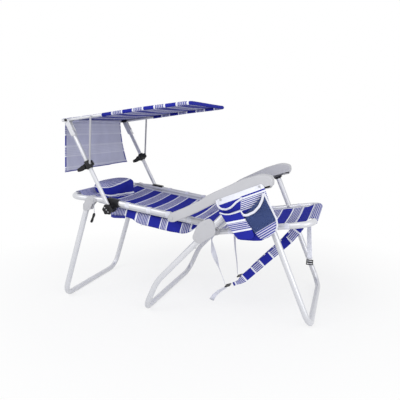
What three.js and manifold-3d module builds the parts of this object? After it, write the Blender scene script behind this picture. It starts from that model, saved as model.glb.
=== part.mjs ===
import * as THREE from 'three';
import { mergeVertices } from 'three/addons/utils/BufferGeometryUtils.js';
import Module from 'manifold-3d';

// Canopy beach chair, laid flat. Millimetres, +X to the foot end, +Z up, the sitter's right hand at -Y.

const wasm = await Module();
wasm.setup();

// Driving sizes

const shiftX = 7.6;
const shiftY = 10;
const gap = 0.35;

const tubeR = 12.5;
const strutR = 9.2;
const rodR = 4;
const roofTubeR = 6.3;
const bendR = 60;

const seatY = 247;
const backY = 252;
const headLegY = 252;
const frontLegY = 275;
const midLegY = 300.4;
const strutY = 277.5;
const rodY = 291.6;

const armInnerY = 257;
const armOuterY = 316.6;
const armWall = 2.9;

const frontPivot = [405, 408];
const seatHinge = [171, 382];
const backHinge = [140, 404];
const headLegHinge = [-400, 482];
const armPivot = [-8, 430];
const strutPivot = [-312, 447];
const roofHinge = [-505, 832];
const rodTop = [-382, 846];
const rodFoot = [-394, 645.6];
const latchPin = [327, 569];
const pouchRivets = [[203, 518], [357, 577]];

const strutDir = new THREE.Vector2(
  roofHinge[0] - strutPivot[0],
  roofHinge[1] - strutPivot[1],
).normalize();

// Materials

function paint(color, roughness, metalness = 0) {
  return new THREE.MeshStandardMaterial({ color, roughness, metalness });
}

const look = {
  tube: () => paint(0xd4d6da, 0.35, 0.7),
  rivet: () => paint(0xb9bcc2, 0.3, 0.9),
  grey: () => paint(0xbfc0c2, 0.55),
  black: () => paint(0x17181b, 0.5),
  blue: () => paint(0x2c34a8, 0.85),
  stripe: () => paint(0x9496bd, 0.85),
  white: () => paint(0xe6e8f2, 0.8),
};

// Building blocks

class BentPath extends THREE.Curve {
  constructor(points) {
    super();
    this.points = points;
  }

  getPoint(t, target = new THREE.Vector3()) {
    const last = this.points.length - 1;
    const place = Math.min(Math.max(t, 0), 1) * last;
    const index = Math.min(Math.floor(place), last - 1);
    return target.lerpVectors(this.points[index], this.points[index + 1], place - index);
  }

  getPointAt(u, target) {
    return this.getPoint(u, target);
  }

  getTangentAt(u, target = new THREE.Vector3()) {
    const last = this.points.length - 1;
    const index = Math.round(u * last);
    const before = this.points[Math.max(index - 1, 0)];
    const after = this.points[Math.min(index + 1, last)];
    const here = this.points[index];
    const incoming = new THREE.Vector3().subVectors(here, before).normalize();
    const outgoing = new THREE.Vector3().subVectors(after, here).normalize();
    return target.addVectors(incoming, outgoing).normalize();
  }
}

// Straight runs between corners, each corner rounded to its radius
function bend(corners, radii, steps = 5) {
  const points = corners.map((corner) => new THREE.Vector3(...corner));
  const path = [points[0]];
  for (let i = 1; i < points.length - 1; i += 1) {
    const radius = Array.isArray(radii) ? radii[i - 1] : radii;
    const toLast = new THREE.Vector3().subVectors(points[i - 1], points[i]).normalize();
    const toNext = new THREE.Vector3().subVectors(points[i + 1], points[i]).normalize();
    const opening = toLast.angleTo(toNext);
    if (radius <= 0 || Math.PI - opening < 0.01) {
      path.push(points[i]);
      continue;
    }
    const reach = radius / Math.tan(opening / 2);
    const middle = new THREE.Vector3().addVectors(toLast, toNext).normalize();
    const centre = points[i].clone().addScaledVector(middle, radius / Math.sin(opening / 2));
    const start = points[i].clone().addScaledVector(toLast, reach).sub(centre);
    const end = points[i].clone().addScaledVector(toNext, reach).sub(centre);
    const turn = start.angleTo(end);
    for (let k = 0; k <= steps; k += 1) {
      const share = k / steps;
      const a = Math.sin((1 - share) * turn) / Math.sin(turn);
      const b = Math.sin(share * turn) / Math.sin(turn);
      path.push(centre.clone().addScaledVector(start, a).addScaledVector(end, b));
    }
  }
  path.push(points[points.length - 1]);
  return path;
}

function circle(radius, hole = 0) {
  const shape = new THREE.Shape().absarc(0, 0, radius, 0, Math.PI * 2);
  if (hole > 0) {
    shape.holes.push(new THREE.Path().absarc(0, 0, hole, 0, Math.PI * 2, true));
  }
  return shape;
}

function sweep(shape, path, sides) {
  return new THREE.ExtrudeGeometry(shape, {
    steps: path.length - 1,
    extrudePath: new BentPath(path),
    curveSegments: sides / 2,
  });
}

function tube(corners, radii, radius, sides = 16, steps = 5) {
  return sweep(circle(radius), bend(corners, radii, steps), sides);
}

// A side profile drawn in X and Z, given a thickness from one Y to another
function plate(shape, yFrom, yTo, options = {}) {
  const low = Math.min(yFrom, yTo);
  const high = Math.max(yFrom, yTo);
  const round = options.round ?? 0;
  const geometry = new THREE.ExtrudeGeometry(shape, {
    depth: high - low - 2 * round,
    bevelEnabled: round > 0,
    bevelThickness: round,
    bevelSize: round,
    bevelOffset: -round,
    bevelSegments: options.roundSteps ?? 2,
    curveSegments: options.curve ?? 2,
  });
  geometry.rotateX(Math.PI / 2);
  geometry.translate(0, high - round, 0);
  return geometry;
}

// A closed outline with rounded corners
function outline(corners, radius) {
  const shape = new THREE.Shape();
  const count = corners.length;
  for (let i = 0; i < count; i += 1) {
    const here = new THREE.Vector2(...corners[i]);
    const before = new THREE.Vector2(...corners[(i + count - 1) % count]);
    const after = new THREE.Vector2(...corners[(i + 1) % count]);
    const wanted = Array.isArray(radius) ? radius[i] : radius;
    const room = Math.min(here.distanceTo(before), here.distanceTo(after)) * 0.45;
    const reach = Math.min(wanted, room);
    const enter = here.clone().add(before.clone().sub(here).setLength(reach));
    const leave = here.clone().add(after.clone().sub(here).setLength(reach));
    if (i === 0) {
      shape.moveTo(enter.x, enter.y);
    } else {
      shape.lineTo(enter.x, enter.y);
    }
    shape.quadraticCurveTo(here.x, here.y, leave.x, leave.y);
  }
  shape.closePath();
  return shape;
}

// A round bar lying along Y
function pinAt(centre, radius, yFrom, yTo, sides = 10) {
  const geometry = new THREE.CylinderGeometry(radius, radius, Math.abs(yTo - yFrom), sides);
  geometry.translate(centre[0], (yFrom + yTo) / 2, centre[1]);
  return geometry;
}

function toManifold(geometry) {
  const bare = new THREE.BufferGeometry();
  bare.setAttribute('position', geometry.getAttribute('position'));
  if (geometry.index) {
    bare.setIndex(geometry.index);
  }
  const merged = mergeVertices(bare, 1e-4);
  return new wasm.Manifold(new wasm.Mesh({
    numProp: 3,
    vertProperties: Float32Array.from(merged.getAttribute('position').array),
    triVerts: Uint32Array.from(merged.index.array),
  }));
}

function toGeometry(manifold) {
  const mesh = manifold.getMesh();
  const geometry = new THREE.BufferGeometry();
  geometry.setAttribute('position', new THREE.BufferAttribute(Float32Array.from(mesh.vertProperties), 3));
  geometry.setIndex(new THREE.BufferAttribute(Uint32Array.from(mesh.triVerts), 1));
  const flat = geometry.toNonIndexed();
  flat.computeVertexNormals();
  return flat;
}

function join(...geometries) {
  return toGeometry(geometries.map(toManifold).reduce((sum, part) => sum.add(part)));
}

function cut(geometry, ...tools) {
  return toGeometry(tools.map(toManifold).reduce((sum, part) => sum.subtract(part), toManifold(geometry)));
}

const group = new THREE.Group();
group.name = 'canopy_beach_chair';

function add(name, geometry, material) {
  geometry.translate(shiftX, shiftY, 0);
  const mesh = new THREE.Mesh(geometry, material);
  mesh.name = name;
  group.add(mesh);
  return mesh;
}

const hands = [['right', -1], ['left', 1]];

// Rail lines, as heights over X

const seatSlope = 0.149;

function seatRailZ(x) {
  return 369.6 + seatSlope * (x - 168);
}

const backKneeX = -350;

function backRailZ(x) {
  if (x >= backKneeX) {
    return 407 - 0.1565 * (x - 119);
  }
  return 480.4 - 0.055 * (x - backKneeX);
}

// Seat frame: a U of tube, open at the hip

const seatRearX = 161;
const seatFrontX = 558;
const seatFrame = tube([
  [seatRearX, -seatY, seatRailZ(seatRearX)],
  [seatFrontX, -seatY, seatRailZ(seatFrontX)],
  [seatFrontX, seatY, seatRailZ(seatFrontX)],
  [seatRearX, seatY, seatRailZ(seatRearX)],
], 55, tubeR);
const seatHoles = [-1, 1].map((side) => pinAt(frontPivot, 4.3, side * 225, side * 270));
add('seat_frame', cut(seatFrame, ...seatHoles), look.tube());

// Back frame: a U of tube, open at the hip, its head end bent level

const backEndX = 156;
const headBarX = -527;
const backFrame = tube([
  [backEndX, -backY, backRailZ(backEndX)],
  [backKneeX, -backY, backRailZ(backKneeX)],
  [headBarX, -backY, backRailZ(headBarX)],
  [headBarX, backY, backRailZ(headBarX)],
  [backKneeX, backY, backRailZ(backKneeX)],
  [backEndX, backY, backRailZ(backEndX)],
], [120, 62, 62, 120], tubeR);

const backHoles = [-1, 1].map((side) => pinAt(backHinge, 4.3, side * 230, side * 270));
const legHoles = [-1, 1].map((side) => pinAt(headLegHinge, 3.3, side * 230, side * 270));
const armHoles = [-1, 1].map((side) => pinAt(armPivot, 4.3, side * 230, side * 270));
add('back_frame', cut(backFrame, ...backHoles, ...legHoles, ...armHoles), look.tube());

// Leg hoops

function hoop(corners, y, radii) {
  const half = corners.map(([x, z]) => [x, -y, z]);
  const other = corners.map(([x, z]) => [x, y, z]).reverse();
  const inner = radii.concat([bendR, bendR], radii.slice().reverse());
  return tube(half.concat(other), inner, tubeR);
}

const midLegTop = [299, 542];
const midLegKnee = [-83.8, 144.3];
const midLeg = hoop([midLegTop, midLegKnee, [-143.2, tubeR]], midLegY, [210]);
add('mid_leg', midLeg, look.tube());

const frontLegTop = [347, 545];
const frontLeg = hoop([frontLegTop, [562.7, tubeR]], frontLegY, []);
const frontHoles = [-1, 1].map((side) => pinAt(frontPivot, 4.3, side * 255, side * 290));
add('front_leg', cut(frontLeg, ...frontHoles), look.tube());

const headLegTop = [-435.3, 458];
const headLeg = hoop([headLegTop, [-577.8, tubeR]], headLegY, []);
const headRivetAt = [-435, 446];
add('head_leg', headLeg, look.tube());

// Hip: a leaf-shaped bracket clasps the middle leg and carries the seat and back pivots

const leafOutline = [
  [82, 352], [98, 338], [118, 331], [146, 352], [174, 366], [183, 382], [180, 404], [174, 426],
  [158, 440], [140, 433], [120, 424], [103, 404], [90, 374],
];
const legLine = new THREE.Vector2(
  midLegTop[0] - midLegKnee[0],
  midLegTop[1] - midLegKnee[1],
).normalize();

for (const [hand, side] of hands) {
  const cover = plate(outline(leafOutline, 12), side * 313.3, side * 317.5, { round: 1.2, roundSteps: 1 });
  const backBoss = pinAt(backHinge, 7, side * 286, side * 314);
  const seatBoss = pinAt(seatHinge, 4.2, side * 261, side * 314);
  const backPin = pinAt(backHinge, 4, side * 236, side * 290);
  const legCopy = toManifold(tube([
    [midLegKnee[0], side * midLegY, midLegKnee[1]],
    [midLegTop[0], side * midLegY, midLegTop[1]],
  ], 0, tubeR + gap));
  let bracket = toManifold(cover).add(toManifold(backBoss)).add(toManifold(seatBoss)).add(toManifold(backPin));
  bracket = bracket.subtract(legCopy);
  add(`leg_bracket_${hand}`, toGeometry(bracket), look.grey());
}

// Seat joint: an end fitting on each seat rail with an ear on the hinge pin

for (const [hand, side] of hands) {
  const plug = tube([
    [seatRearX - 14, side * seatY, seatRailZ(seatRearX - 14)],
    [seatRearX - gap, side * seatY, seatRailZ(seatRearX - gap)],
  ], 0, tubeR + 0.6);
  const earOutline = outline([[145, 362], [152, 356], [186, 362], [186, 384], [172, 395], [156, 386]], 9);
  const ear = plate(earOutline, side * (seatY + tubeR - 3), side * 268.5, { round: 0.8, roundSteps: 1 });
  const rail = tube([
    [seatRearX - gap, side * seatY, seatRailZ(seatRearX - gap)],
    [seatRearX + 60, side * seatY, seatRailZ(seatRearX + 60)],
  ], 0, tubeR + gap);
  const bore = pinAt(seatHinge, 4.6, side * 230, side * 280);
  add(`seat_joint_${hand}`, cut(join(plug, ear), rail, bore), look.grey());
}

// Front legs pivot on a rivet through each seat rail

function rivet(centre, radius, yFrom, yTo, headR, headT) {
  const sign = Math.sign(yTo - yFrom);
  return join(
    pinAt(centre, radius, yFrom, yTo),
    pinAt(centre, headR, yFrom - sign * headT, yFrom, 12),
    pinAt(centre, headR, yTo, yTo + sign * headT, 12),
  );
}

for (const [hand, side] of hands) {
  const from = side * (seatY - tubeR - 0.5);
  const to = side * (frontLegY + tubeR + 0.4);
  add(`front_leg_rivet_${hand}`, rivet(frontPivot, 3.9, from, to, 7.5, 1.8), look.rivet());
}

// Latch: a moulded cap on each middle leg's top that reaches over the front leg's top

const frontLine = new THREE.Vector2(frontLegTop[0] - 562.7, frontLegTop[1] - tubeR).normalize();

function onEnd(top, line, across, along) {
  return [top[0] - line.y * across + line.x * along, top[1] + line.x * across + line.y * along];
}

for (const [hand, side] of hands) {
  const low = [
    onEnd(frontLegTop, frontLine, -13, gap),
    onEnd(frontLegTop, frontLine, 13.5, gap),
    [322, 549],
    onEnd(midLegTop, legLine, -13, gap),
    onEnd(midLegTop, legLine, 10, gap),
  ];
  const shape = new THREE.Shape();
  shape.moveTo(360, 555);
  low.forEach(([x, z]) => shape.lineTo(x, z));
  shape.lineTo(295, 556);
  shape.lineTo(latchPin[0] - 5, latchPin[1] - 3.4);
  shape.lineTo(latchPin[0] + 5, latchPin[1] - 1.5);
  shape.lineTo(346, 567);
  shape.closePath();
  const hook = plate(shape, side * (frontLegY - 11.5), side * (midLegY + 10));
  const pin = pinAt(latchPin, 4.7, side * (frontLegY - 12.5), side * (midLegY + 11), 14);
  add(`leg_latch_${hand}`, join(hook, pin), look.black());
}

// Head leg brackets: two cheeks and a web that holds the leg's top beside the rail

const headCheek = outline([
  [-418, 499], [-434, 489], [-445, 462], [-452, 432], [-417, 432], [-411, 449],
  [-400, 464], [-386, 472], [-380, 483], [-398, 495],
], 6);
const headWeb = outline([[-450, 463], [-452, 434], [-420, 434], [-413, 452], [-433, 466]], 4);
const cheekEdge = { round: 0.6, roundSteps: 1 };

for (const [hand, side] of hands) {
  const outerCheek = plate(headCheek, side * 264.95, side * 267.7, cheekEdge);
  const innerCheek = plate(headCheek, side * 236.3, side * 239.05, cheekEdge);
  const web = plate(headWeb, side * 237.5, side * 266.5);
  const leg = tube([
    [-577.8, side * headLegY, tubeR],
    [headLegTop[0] + 3.2, side * headLegY, headLegTop[1] + 10],
  ], 0, tubeR + gap);
  const bore = pinAt(headLegHinge, 3.3, side * 230, side * 270);
  const bracket = cut(join(outerCheek, innerCheek, web), leg, bore);
  add(`head_leg_bracket_${hand}`, bracket, look.grey());
  add(`head_leg_rivet_${hand}`, rivet(headLegHinge, 3, side * 235.9, side * 268, 6, 1.8), look.rivet());
}

// Arms: an upturned channel with a notched rib that drops over the latch pin

const armOutline = [
  [-27, 430], [-17, 448], [30, 468], [112, 508], [150, 534], [279, 597], [330, 614], [362, 618],
  [397, 611], [409, 592], [398, 577], [374, 569], [183, 503], [112, 464], [51, 434], [-2, 412], [-22, 416],
];
const channelOutline = [
  [36, 465], [112, 503.8], [150, 529.8], [279, 593], [330, 610], [362, 614], [393, 607.5], [402, 592],
  [394, 556], [200, 480], [70, 400], [36, 400],
];
const ribSlope = Math.atan2(569 - 503, 374 - 183);

for (const [hand, side] of hands) {
  const body = plate(outline(armOutline, 26), side * armInnerY, side * armOuterY, { round: 4.5, curve: 2 });
  const channel = plate(
    outline(channelOutline, 12),
    side * (armInnerY + armWall),
    side * (armOuterY - armWall),
    { round: 2.5, roundSteps: 1, curve: 2 },
  );
  const railRoom = new THREE.BoxGeometry(110, 30, 140);
  railRoom.translate(5, side * (267.9 - 15), 420);
  const bore = pinAt(armPivot, 4.4, side * 240, side * 330);
  const shell = toManifold(body)
    .subtract(toManifold(channel))
    .subtract(toManifold(railRoom));
  const ribShape = new THREE.Shape();
  const ribAt = (along, up) => [
    latchPin[0] + along * Math.cos(ribSlope) - up * Math.sin(ribSlope),
    latchPin[1] + along * Math.sin(ribSlope) + up * Math.cos(ribSlope),
  ];
  ribShape.moveTo(...ribAt(30, 52));
  ribShape.lineTo(...ribAt(-235, 52));
  ribShape.lineTo(...ribAt(-235, 4));
  for (let notch = 4; notch >= 0; notch -= 1) {
    const along = notch * -48.5;
    ribShape.lineTo(...ribAt(along - 16, -0.4));
    ribShape.lineTo(...ribAt(along - 10.7, -0.4));
    for (let k = 0; k <= 4; k += 1) {
      const turn = (Math.PI * 2) / 3 - (k * Math.PI) / 6;
      ribShape.lineTo(...ribAt(along + 5 * Math.cos(turn), 5 * Math.sin(turn)));
    }
    ribShape.lineTo(...ribAt(along + 5.2, -0.4));
    ribShape.lineTo(...ribAt(along + 14, 2.5));
  }
  ribShape.lineTo(...ribAt(30, 3));
  ribShape.closePath();
  const rib = toManifold(plate(ribShape, side * 283.5, side * 290));
  const core = plate(outline(armOutline, 26), side * (armInnerY + 1), side * (armOuterY - 1));
  let arm = shell.add(rib.intersect(toManifold(core))).subtract(toManifold(bore));
  if (hand === 'right') {
    arm = pouchRivets.reduce((sum, at) => (
      sum.subtract(toManifold(pinAt(at, 2.3, -armOuterY + 8, -armOuterY - 4)))
    ), arm);
  }
  add(`arm_${hand}`, toGeometry(arm), look.grey());
  const shaft = rivet(armPivot, 4, side * (backY - tubeR - 0.6), side * (armOuterY + 0.4), 7.5, 2.2);
  add(`arm_pivot_${hand}`, shaft, look.rivet());
}

// Closed solids from a grid of points: a sheet has a top and an underside

function gridSolid(columns, rows, upper, lower) {
  const positions = [];
  const push = (a, b, c) => positions.push(...a, ...b, ...c);
  const quad = (a, b, c, d) => {
    push(a, b, c);
    push(a, c, d);
  };
  for (let i = 0; i < columns.length - 1; i += 1) {
    for (let j = 0; j < rows.length - 1; j += 1) {
      const [u, v, u1, v1] = [columns[i], rows[j], columns[i + 1], rows[j + 1]];
      quad(upper(u, v), upper(u1, v), upper(u1, v1), upper(u, v1));
      quad(lower(u, v1), lower(u1, v1), lower(u1, v), lower(u, v));
    }
  }
  const [v0, vEnd] = [rows[0], rows[rows.length - 1]];
  for (let i = 0; i < columns.length - 1; i += 1) {
    const [u, u1] = [columns[i], columns[i + 1]];
    quad(lower(u, v0), lower(u1, v0), upper(u1, v0), upper(u, v0));
    quad(upper(u, vEnd), upper(u1, vEnd), lower(u1, vEnd), lower(u, vEnd));
  }
  const [u0, uEnd] = [columns[0], columns[columns.length - 1]];
  for (let j = 0; j < rows.length - 1; j += 1) {
    const [v, v1] = [rows[j], rows[j + 1]];
    quad(lower(u0, v1), lower(u0, v), upper(u0, v), upper(u0, v1));
    quad(upper(uEnd, v1), upper(uEnd, v), lower(uEnd, v), lower(uEnd, v1));
  }
  const geometry = new THREE.BufferGeometry();
  geometry.setAttribute('position', new THREE.Float32BufferAttribute(positions, 3));
  const merged = mergeVertices(geometry, 1e-4);
  merged.computeVertexNormals();
  return merged;
}

function spaced(from, to, count) {
  return Array.from({ length: count + 1 }, (_, i) => from + ((to - from) * i) / count);
}

// A closed body through rings of equal count, its two ends closed by fans
function loft(rings) {
  const positions = [];
  const count = rings[0].length;
  const push = (a, b, c) => positions.push(...a, ...b, ...c);
  for (let i = 0; i < rings.length - 1; i += 1) {
    for (let k = 0; k < count; k += 1) {
      const next = (k + 1) % count;
      push(rings[i][k], rings[i + 1][k], rings[i + 1][next]);
      push(rings[i][k], rings[i + 1][next], rings[i][next]);
    }
  }
  const middle = (ring) => [0, 1, 2].map((axis) => ring.reduce((sum, p) => sum + p[axis], 0) / count);
  const first = middle(rings[0]);
  const last = middle(rings[rings.length - 1]);
  for (let k = 0; k < count; k += 1) {
    const next = (k + 1) % count;
    push(first, rings[0][k], rings[0][next]);
    push(last, rings[rings.length - 1][next], rings[rings.length - 1][k]);
  }
  const geometry = new THREE.BufferGeometry();
  geometry.setAttribute('position', new THREE.Float32BufferAttribute(positions, 3));
  const merged = mergeVertices(geometry, 1e-4);
  merged.computeVertexNormals();
  return merged;
}

// Slings: cloth between the rails, on loops round them and a sleeve round the end bar

const clothT = 2.4;

function railLoop(x, side, y, railZ, half = 11) {
  const ring = sweep(circle(15.1, 13.1), [
    new THREE.Vector3(x - half, side * y, railZ(x - half)),
    new THREE.Vector3(x + half, side * y, railZ(x + half)),
  ], 12);
  const strap = plate(new THREE.Shape([
    new THREE.Vector2(x - half, railZ(x - half) - 4.5),
    new THREE.Vector2(x + half, railZ(x + half) - 4.5),
    new THREE.Vector2(x + half, railZ(x + half) - 2),
    new THREE.Vector2(x - half, railZ(x - half) - 2),
  ]), side * (y - 40), side * (y - 13.2));
  return [ring, strap];
}

const slingEdge = 222;
const backSlingColumns = [-513, -455, -400, -340, -260, -180, -100, -20, 60, 126];

function backSlingHalf(x) {
  return x < -455 ? 186 + ((x + 513) / 58) * (slingEdge - 186) : slingEdge;
}

function backSlingZ(x, across) {
  const sag = 12 * Math.min(1, (x + 540) / 160, (180 - x) / 150) * (1 - across * across);
  return backRailZ(x) - 2 - sag;
}

const backCloth = gridSolid(
  backSlingColumns,
  spaced(-1, 1, 6),
  (x, v) => [x, v * backSlingHalf(x), backSlingZ(x, v)],
  (x, v) => [x, v * backSlingHalf(x), backSlingZ(x, v) - clothT],
);
const headSleeve = sweep(circle(15, 12.9), [
  new THREE.Vector3(headBarX, -184, backRailZ(headBarX)),
  new THREE.Vector3(headBarX, 184, backRailZ(headBarX)),
], 16);
const backLoops = hands.flatMap(([, side]) => [
  ...railLoop(-360, side, backY, backRailZ, 6),
  ...[-235, -134, -44, 52].flatMap((x) => railLoop(x, side, backY, backRailZ)),
]);
add('back_sling', join(backCloth, headSleeve, ...backLoops), look.stripe());

const seatSlingEdge = 216;
const seatSlingColumns = [150, 215, 290, 370, 440, 500, 545];

function seatSlingHalf(x) {
  return x > 500 ? seatSlingEdge - ((x - 500) / 45) * 34 : seatSlingEdge;
}

function seatSlingZ(x, across) {
  const sag = 14 * Math.min(1, (575 - x) / 160) * (1 - across * across);
  return seatRailZ(x) - 2 - sag;
}

const seatCloth = gridSolid(
  seatSlingColumns,
  spaced(-1, 1, 6),
  (x, v) => [x, v * seatSlingHalf(x), seatSlingZ(x, v)],
  (x, v) => [x, v * seatSlingHalf(x), seatSlingZ(x, v) - clothT],
);
const frontSleeve = sweep(circle(15, 12.9), [
  new THREE.Vector3(seatFrontX, -180, seatRailZ(seatFrontX)),
  new THREE.Vector3(seatFrontX, 180, seatRailZ(seatFrontX)),
], 16);
const seatLoops = hands.flatMap(([, side]) => (
  [228, 330, 458].flatMap((x) => railLoop(x, side, seatY, seatRailZ))
));
add('seat_sling', join(seatCloth, frontSleeve, ...seatLoops), look.stripe());

// Head pillow: crowned, with drawn-in ends, lying a little askew

const pillowCentre = [-427, 0, 484];
const pillowTurn = THREE.MathUtils.degToRad(-8);
const pillowHalf = [56, 130, 62];

function pillowRing(v) {
  const along = Math.sin((v * Math.PI) / 2);
  const full = Math.max(1 - Math.abs(v) ** 5, 0.02) ** 0.5;
  return Array.from({ length: 20 }, (_, k) => {
    const turn = (k / 20) * Math.PI * 2;
    const cosine = Math.cos(turn);
    const sine = Math.sin(turn);
    const x = pillowHalf[0] * full * Math.sign(cosine) * Math.abs(cosine) ** 0.7;
    const lift = sine > 0 ? Math.abs(sine) ** 0.8 : -0.16 * Math.abs(sine) ** 0.6;
    const z = (0.16 + 0.84 * lift) * pillowHalf[2] * (0.35 + 0.65 * full);
    const y = pillowHalf[1] * along;
    return [
      pillowCentre[0] + x * Math.cos(pillowTurn) - y * Math.sin(pillowTurn),
      pillowCentre[1] + x * Math.sin(pillowTurn) + y * Math.cos(pillowTurn),
      pillowCentre[2] + z,
    ];
  });
}

const pillow = loft([-1, -0.9, -0.7, -0.45, -0.2, 0.05, 0.3, 0.55, 0.8, 0.93, 1].map(pillowRing));
add('pillow', pillow, look.blue());

// Storage bag under the back, its mouth at the head end

const bagStations = [
  [-334, 404], [-275, 402], [-228, 391], [-206, 371], [-149, 363],
  [-92, 351], [-50, 347], [1, 338], [34, 352], [66, 386],
];

function bagRing(x, floor, half, inset) {
  const top = backRailZ(x) - 19.5 - inset;
  const bottom = floor + inset;
  const middle = (top + bottom) / 2;
  const rise = (top - bottom) / 2;
  return Array.from({ length: 16 }, (_, k) => {
    const turn = -(k / 16) * Math.PI * 2;
    const cosine = Math.cos(turn);
    const sine = Math.sin(turn);
    const y = (half - inset) * Math.sign(cosine) * Math.abs(cosine) ** 0.28;
    const z = middle + rise * Math.sign(sine) * Math.abs(sine) ** 0.42;
    return [x, y, z];
  });
}

const bagSkin = 3;
const bagOuter = loft(bagStations.map(([x, floor]) => bagRing(x, floor, 228, 0)));
const bagInner = loft(bagStations.map(([x, floor], i) => (
  bagRing(i === 0 ? x - 12 : x - (i === bagStations.length - 1 ? 8 : 2), floor, 228, bagSkin)
)));
add('storage_bag', cut(bagOuter, bagInner), look.blue());

// Canopy supports: two struts on clamps at the back rails

const strutLength = Math.hypot(roofHinge[0] - strutPivot[0], roofHinge[1] - strutPivot[1]);

// A point a distance up the strut, and a distance forward of its axis
function onStrut(up, forward = 0) {
  return [
    strutPivot[0] + strutDir.x * up + strutDir.y * forward,
    strutPivot[1] + strutDir.y * up - strutDir.x * forward,
  ];
}

function strutBar(from, to, y, radius, sides = 16) {
  const [x0, z0] = onStrut(from);
  const [x1, z1] = onStrut(to);
  return tube([[x0, y, z0], [x1, y, z1]], 0, radius, sides);
}

const strutTop = 366;
const forkHalf = 10.8;

for (const [hand, side] of hands) {
  const y = side * strutY;
  const bore = pinAt(strutPivot, 3.6, side * 260, side * 295);
  add(`strut_${hand}`, cut(strutBar(-15, strutTop, y, strutR), bore), look.tube());

  const forkOutline = outline([
    onStrut(strutLength + 6, 5.5), onStrut(strutLength + 6, -5.5),
    onStrut(strutLength - 7, -forkHalf), onStrut(356, -forkHalf),
    onStrut(356, forkHalf), onStrut(strutLength - 7, forkHalf),
  ], [3, 3, 5, 3, 3, 5]);
  const fork = plate(forkOutline, side * (strutY - 12), side * (strutY + 12), { round: 0.8, roundSteps: 1 });
  const slot = plate(outline([
    onStrut(strutLength + 30, 30), onStrut(strutLength + 30, -30),
    onStrut(374, -30), onStrut(374, 30),
  ], 1), side * (strutY - 9.6), side * (strutY + 9.6));
  const hingeBore = pinAt(roofHinge, 2.9, side * 250, side * 300);
  const socket = strutBar(340, strutTop + gap, y, strutR + gap);
  add(`strut_fork_${hand}`, cut(fork, slot, socket, hingeBore), look.grey());

  const roofPin = join(
    pinAt(roofHinge, 2.5, side * (strutY - 14), side * (strutY + 14)),
    pinAt(roofHinge, 6, side * (strutY + 12.4), side * (strutY + 17)),
    plate(outline([
      [roofHinge[0] - 9, roofHinge[1] + 5], [roofHinge[0] - 9, roofHinge[1] - 7.5],
      [roofHinge[0] + 19, roofHinge[1] - 4.5], [roofHinge[0] + 19, roofHinge[1] + 8],
    ], 4), side * (strutY - 22), side * (strutY - 12.4)),
  );
  add(`canopy_pivot_${hand}`, roofPin, look.black());
}

// Rail clamps: a C of moulding with jaws above and below the rail, and a lug for the strut

for (const [hand, side] of hands) {
  const [from, to] = [-331, -275];
  const block = plate(outline([
    [from, backRailZ(from) + 16.5], [from, backRailZ(from) - 18],
    [to, backRailZ(to) - 18], [to, backRailZ(to) + 16.5],
  ], 4), side * 242, side * 268);
  const lug = plate(outline([
    [-330, 462], [-330, 437], [-322, 429], [-302, 429], [-293, 438], [-291, 462],
  ], 7), side * 246, side * 268);
  const rail = tube([
    [from - 10, side * backY, backRailZ(from - 10)],
    [to + 10, side * backY, backRailZ(to + 10)],
  ], 0, tubeR + gap);
  const mouth = plate(outline([
    [from - 10, backRailZ(from - 10) + 8], [from - 10, backRailZ(from - 10) - 8],
    [to + 10, backRailZ(to + 10) - 8], [to + 10, backRailZ(to + 10) + 8],
  ], 0.5), side * 230, side * 250);
  const bore = pinAt(strutPivot, 3.6, side * 240, side * 280);
  add(`rail_clamp_${hand}`, cut(join(block, lug), rail, mouth, bore), look.black());

  const knobShape = new THREE.Shape();
  const lobes = 6;
  for (let k = 0; k < lobes * 4; k += 1) {
    const turn = (k / (lobes * 4)) * Math.PI * 2;
    const reach = 22.6 + 2 * Math.cos(lobes * turn);
    const at = [strutPivot[0] + reach * Math.cos(turn), strutPivot[1] + reach * Math.sin(turn)];
    if (k === 0) {
      knobShape.moveTo(...at);
    } else {
      knobShape.lineTo(...at);
    }
  }
  knobShape.closePath();
  const grip = plate(knobShape, side * 288, side * 302, { round: 2.5, roundSteps: 1 });
  const boss = pinAt(strutPivot, 9, side * 287.2, side * 306);
  const bolt = pinAt(strutPivot, 3.2, side * 244, side * 290);
  add(`rail_knob_${hand}`, join(grip, boss, bolt), look.black());
}

// Canopy roof: a bent tube, its rear bar, and the cloth that sleeves it

const roofLine = [[-531, 829.4], [-339, 852.5], [-140, 878], [58, 898.5]];

function roofZ(x) {
  for (let i = 0; i < roofLine.length - 1; i += 1) {
    const [x0, z0] = roofLine[i];
    const [x1, z1] = roofLine[i + 1];
    if (x <= x1 || i === roofLine.length - 2) {
      return z0 + ((z1 - z0) * (x - x0)) / (x1 - x0);
    }
  }
  return 0;
}

function roofPath(rear, half) {
  const run = [rear, ...[-339, -140, 58].filter((x) => x > rear + 2)].map((x) => [x, roofZ(x)]);
  const corners = run.map(([x, z]) => [x, -half, z]).concat(run.map(([x, z]) => [x, half, z]).reverse());
  const bends = run.slice(1).map(([x]) => (x === 58 ? 32 : 0));
  return bend(corners, bends.concat(bends.slice().reverse()), 5);
}

const roofFrame = sweep(circle(roofTubeR), roofPath(-531, strutY), 12);
const roofBores = [-1, 1].map((side) => pinAt(roofHinge, 2.9, side * 260, side * 295));
add('canopy_frame', cut(roofFrame, ...roofBores), look.tube());

const rearBarAt = [-526, roofZ(-526)];
const rearBar = pinAt(rearBarAt, 4.8, -(strutY - roofTubeR - gap), strutY - roofTubeR - gap, 12);
add('canopy_rear_bar', rearBar, look.tube());

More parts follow.
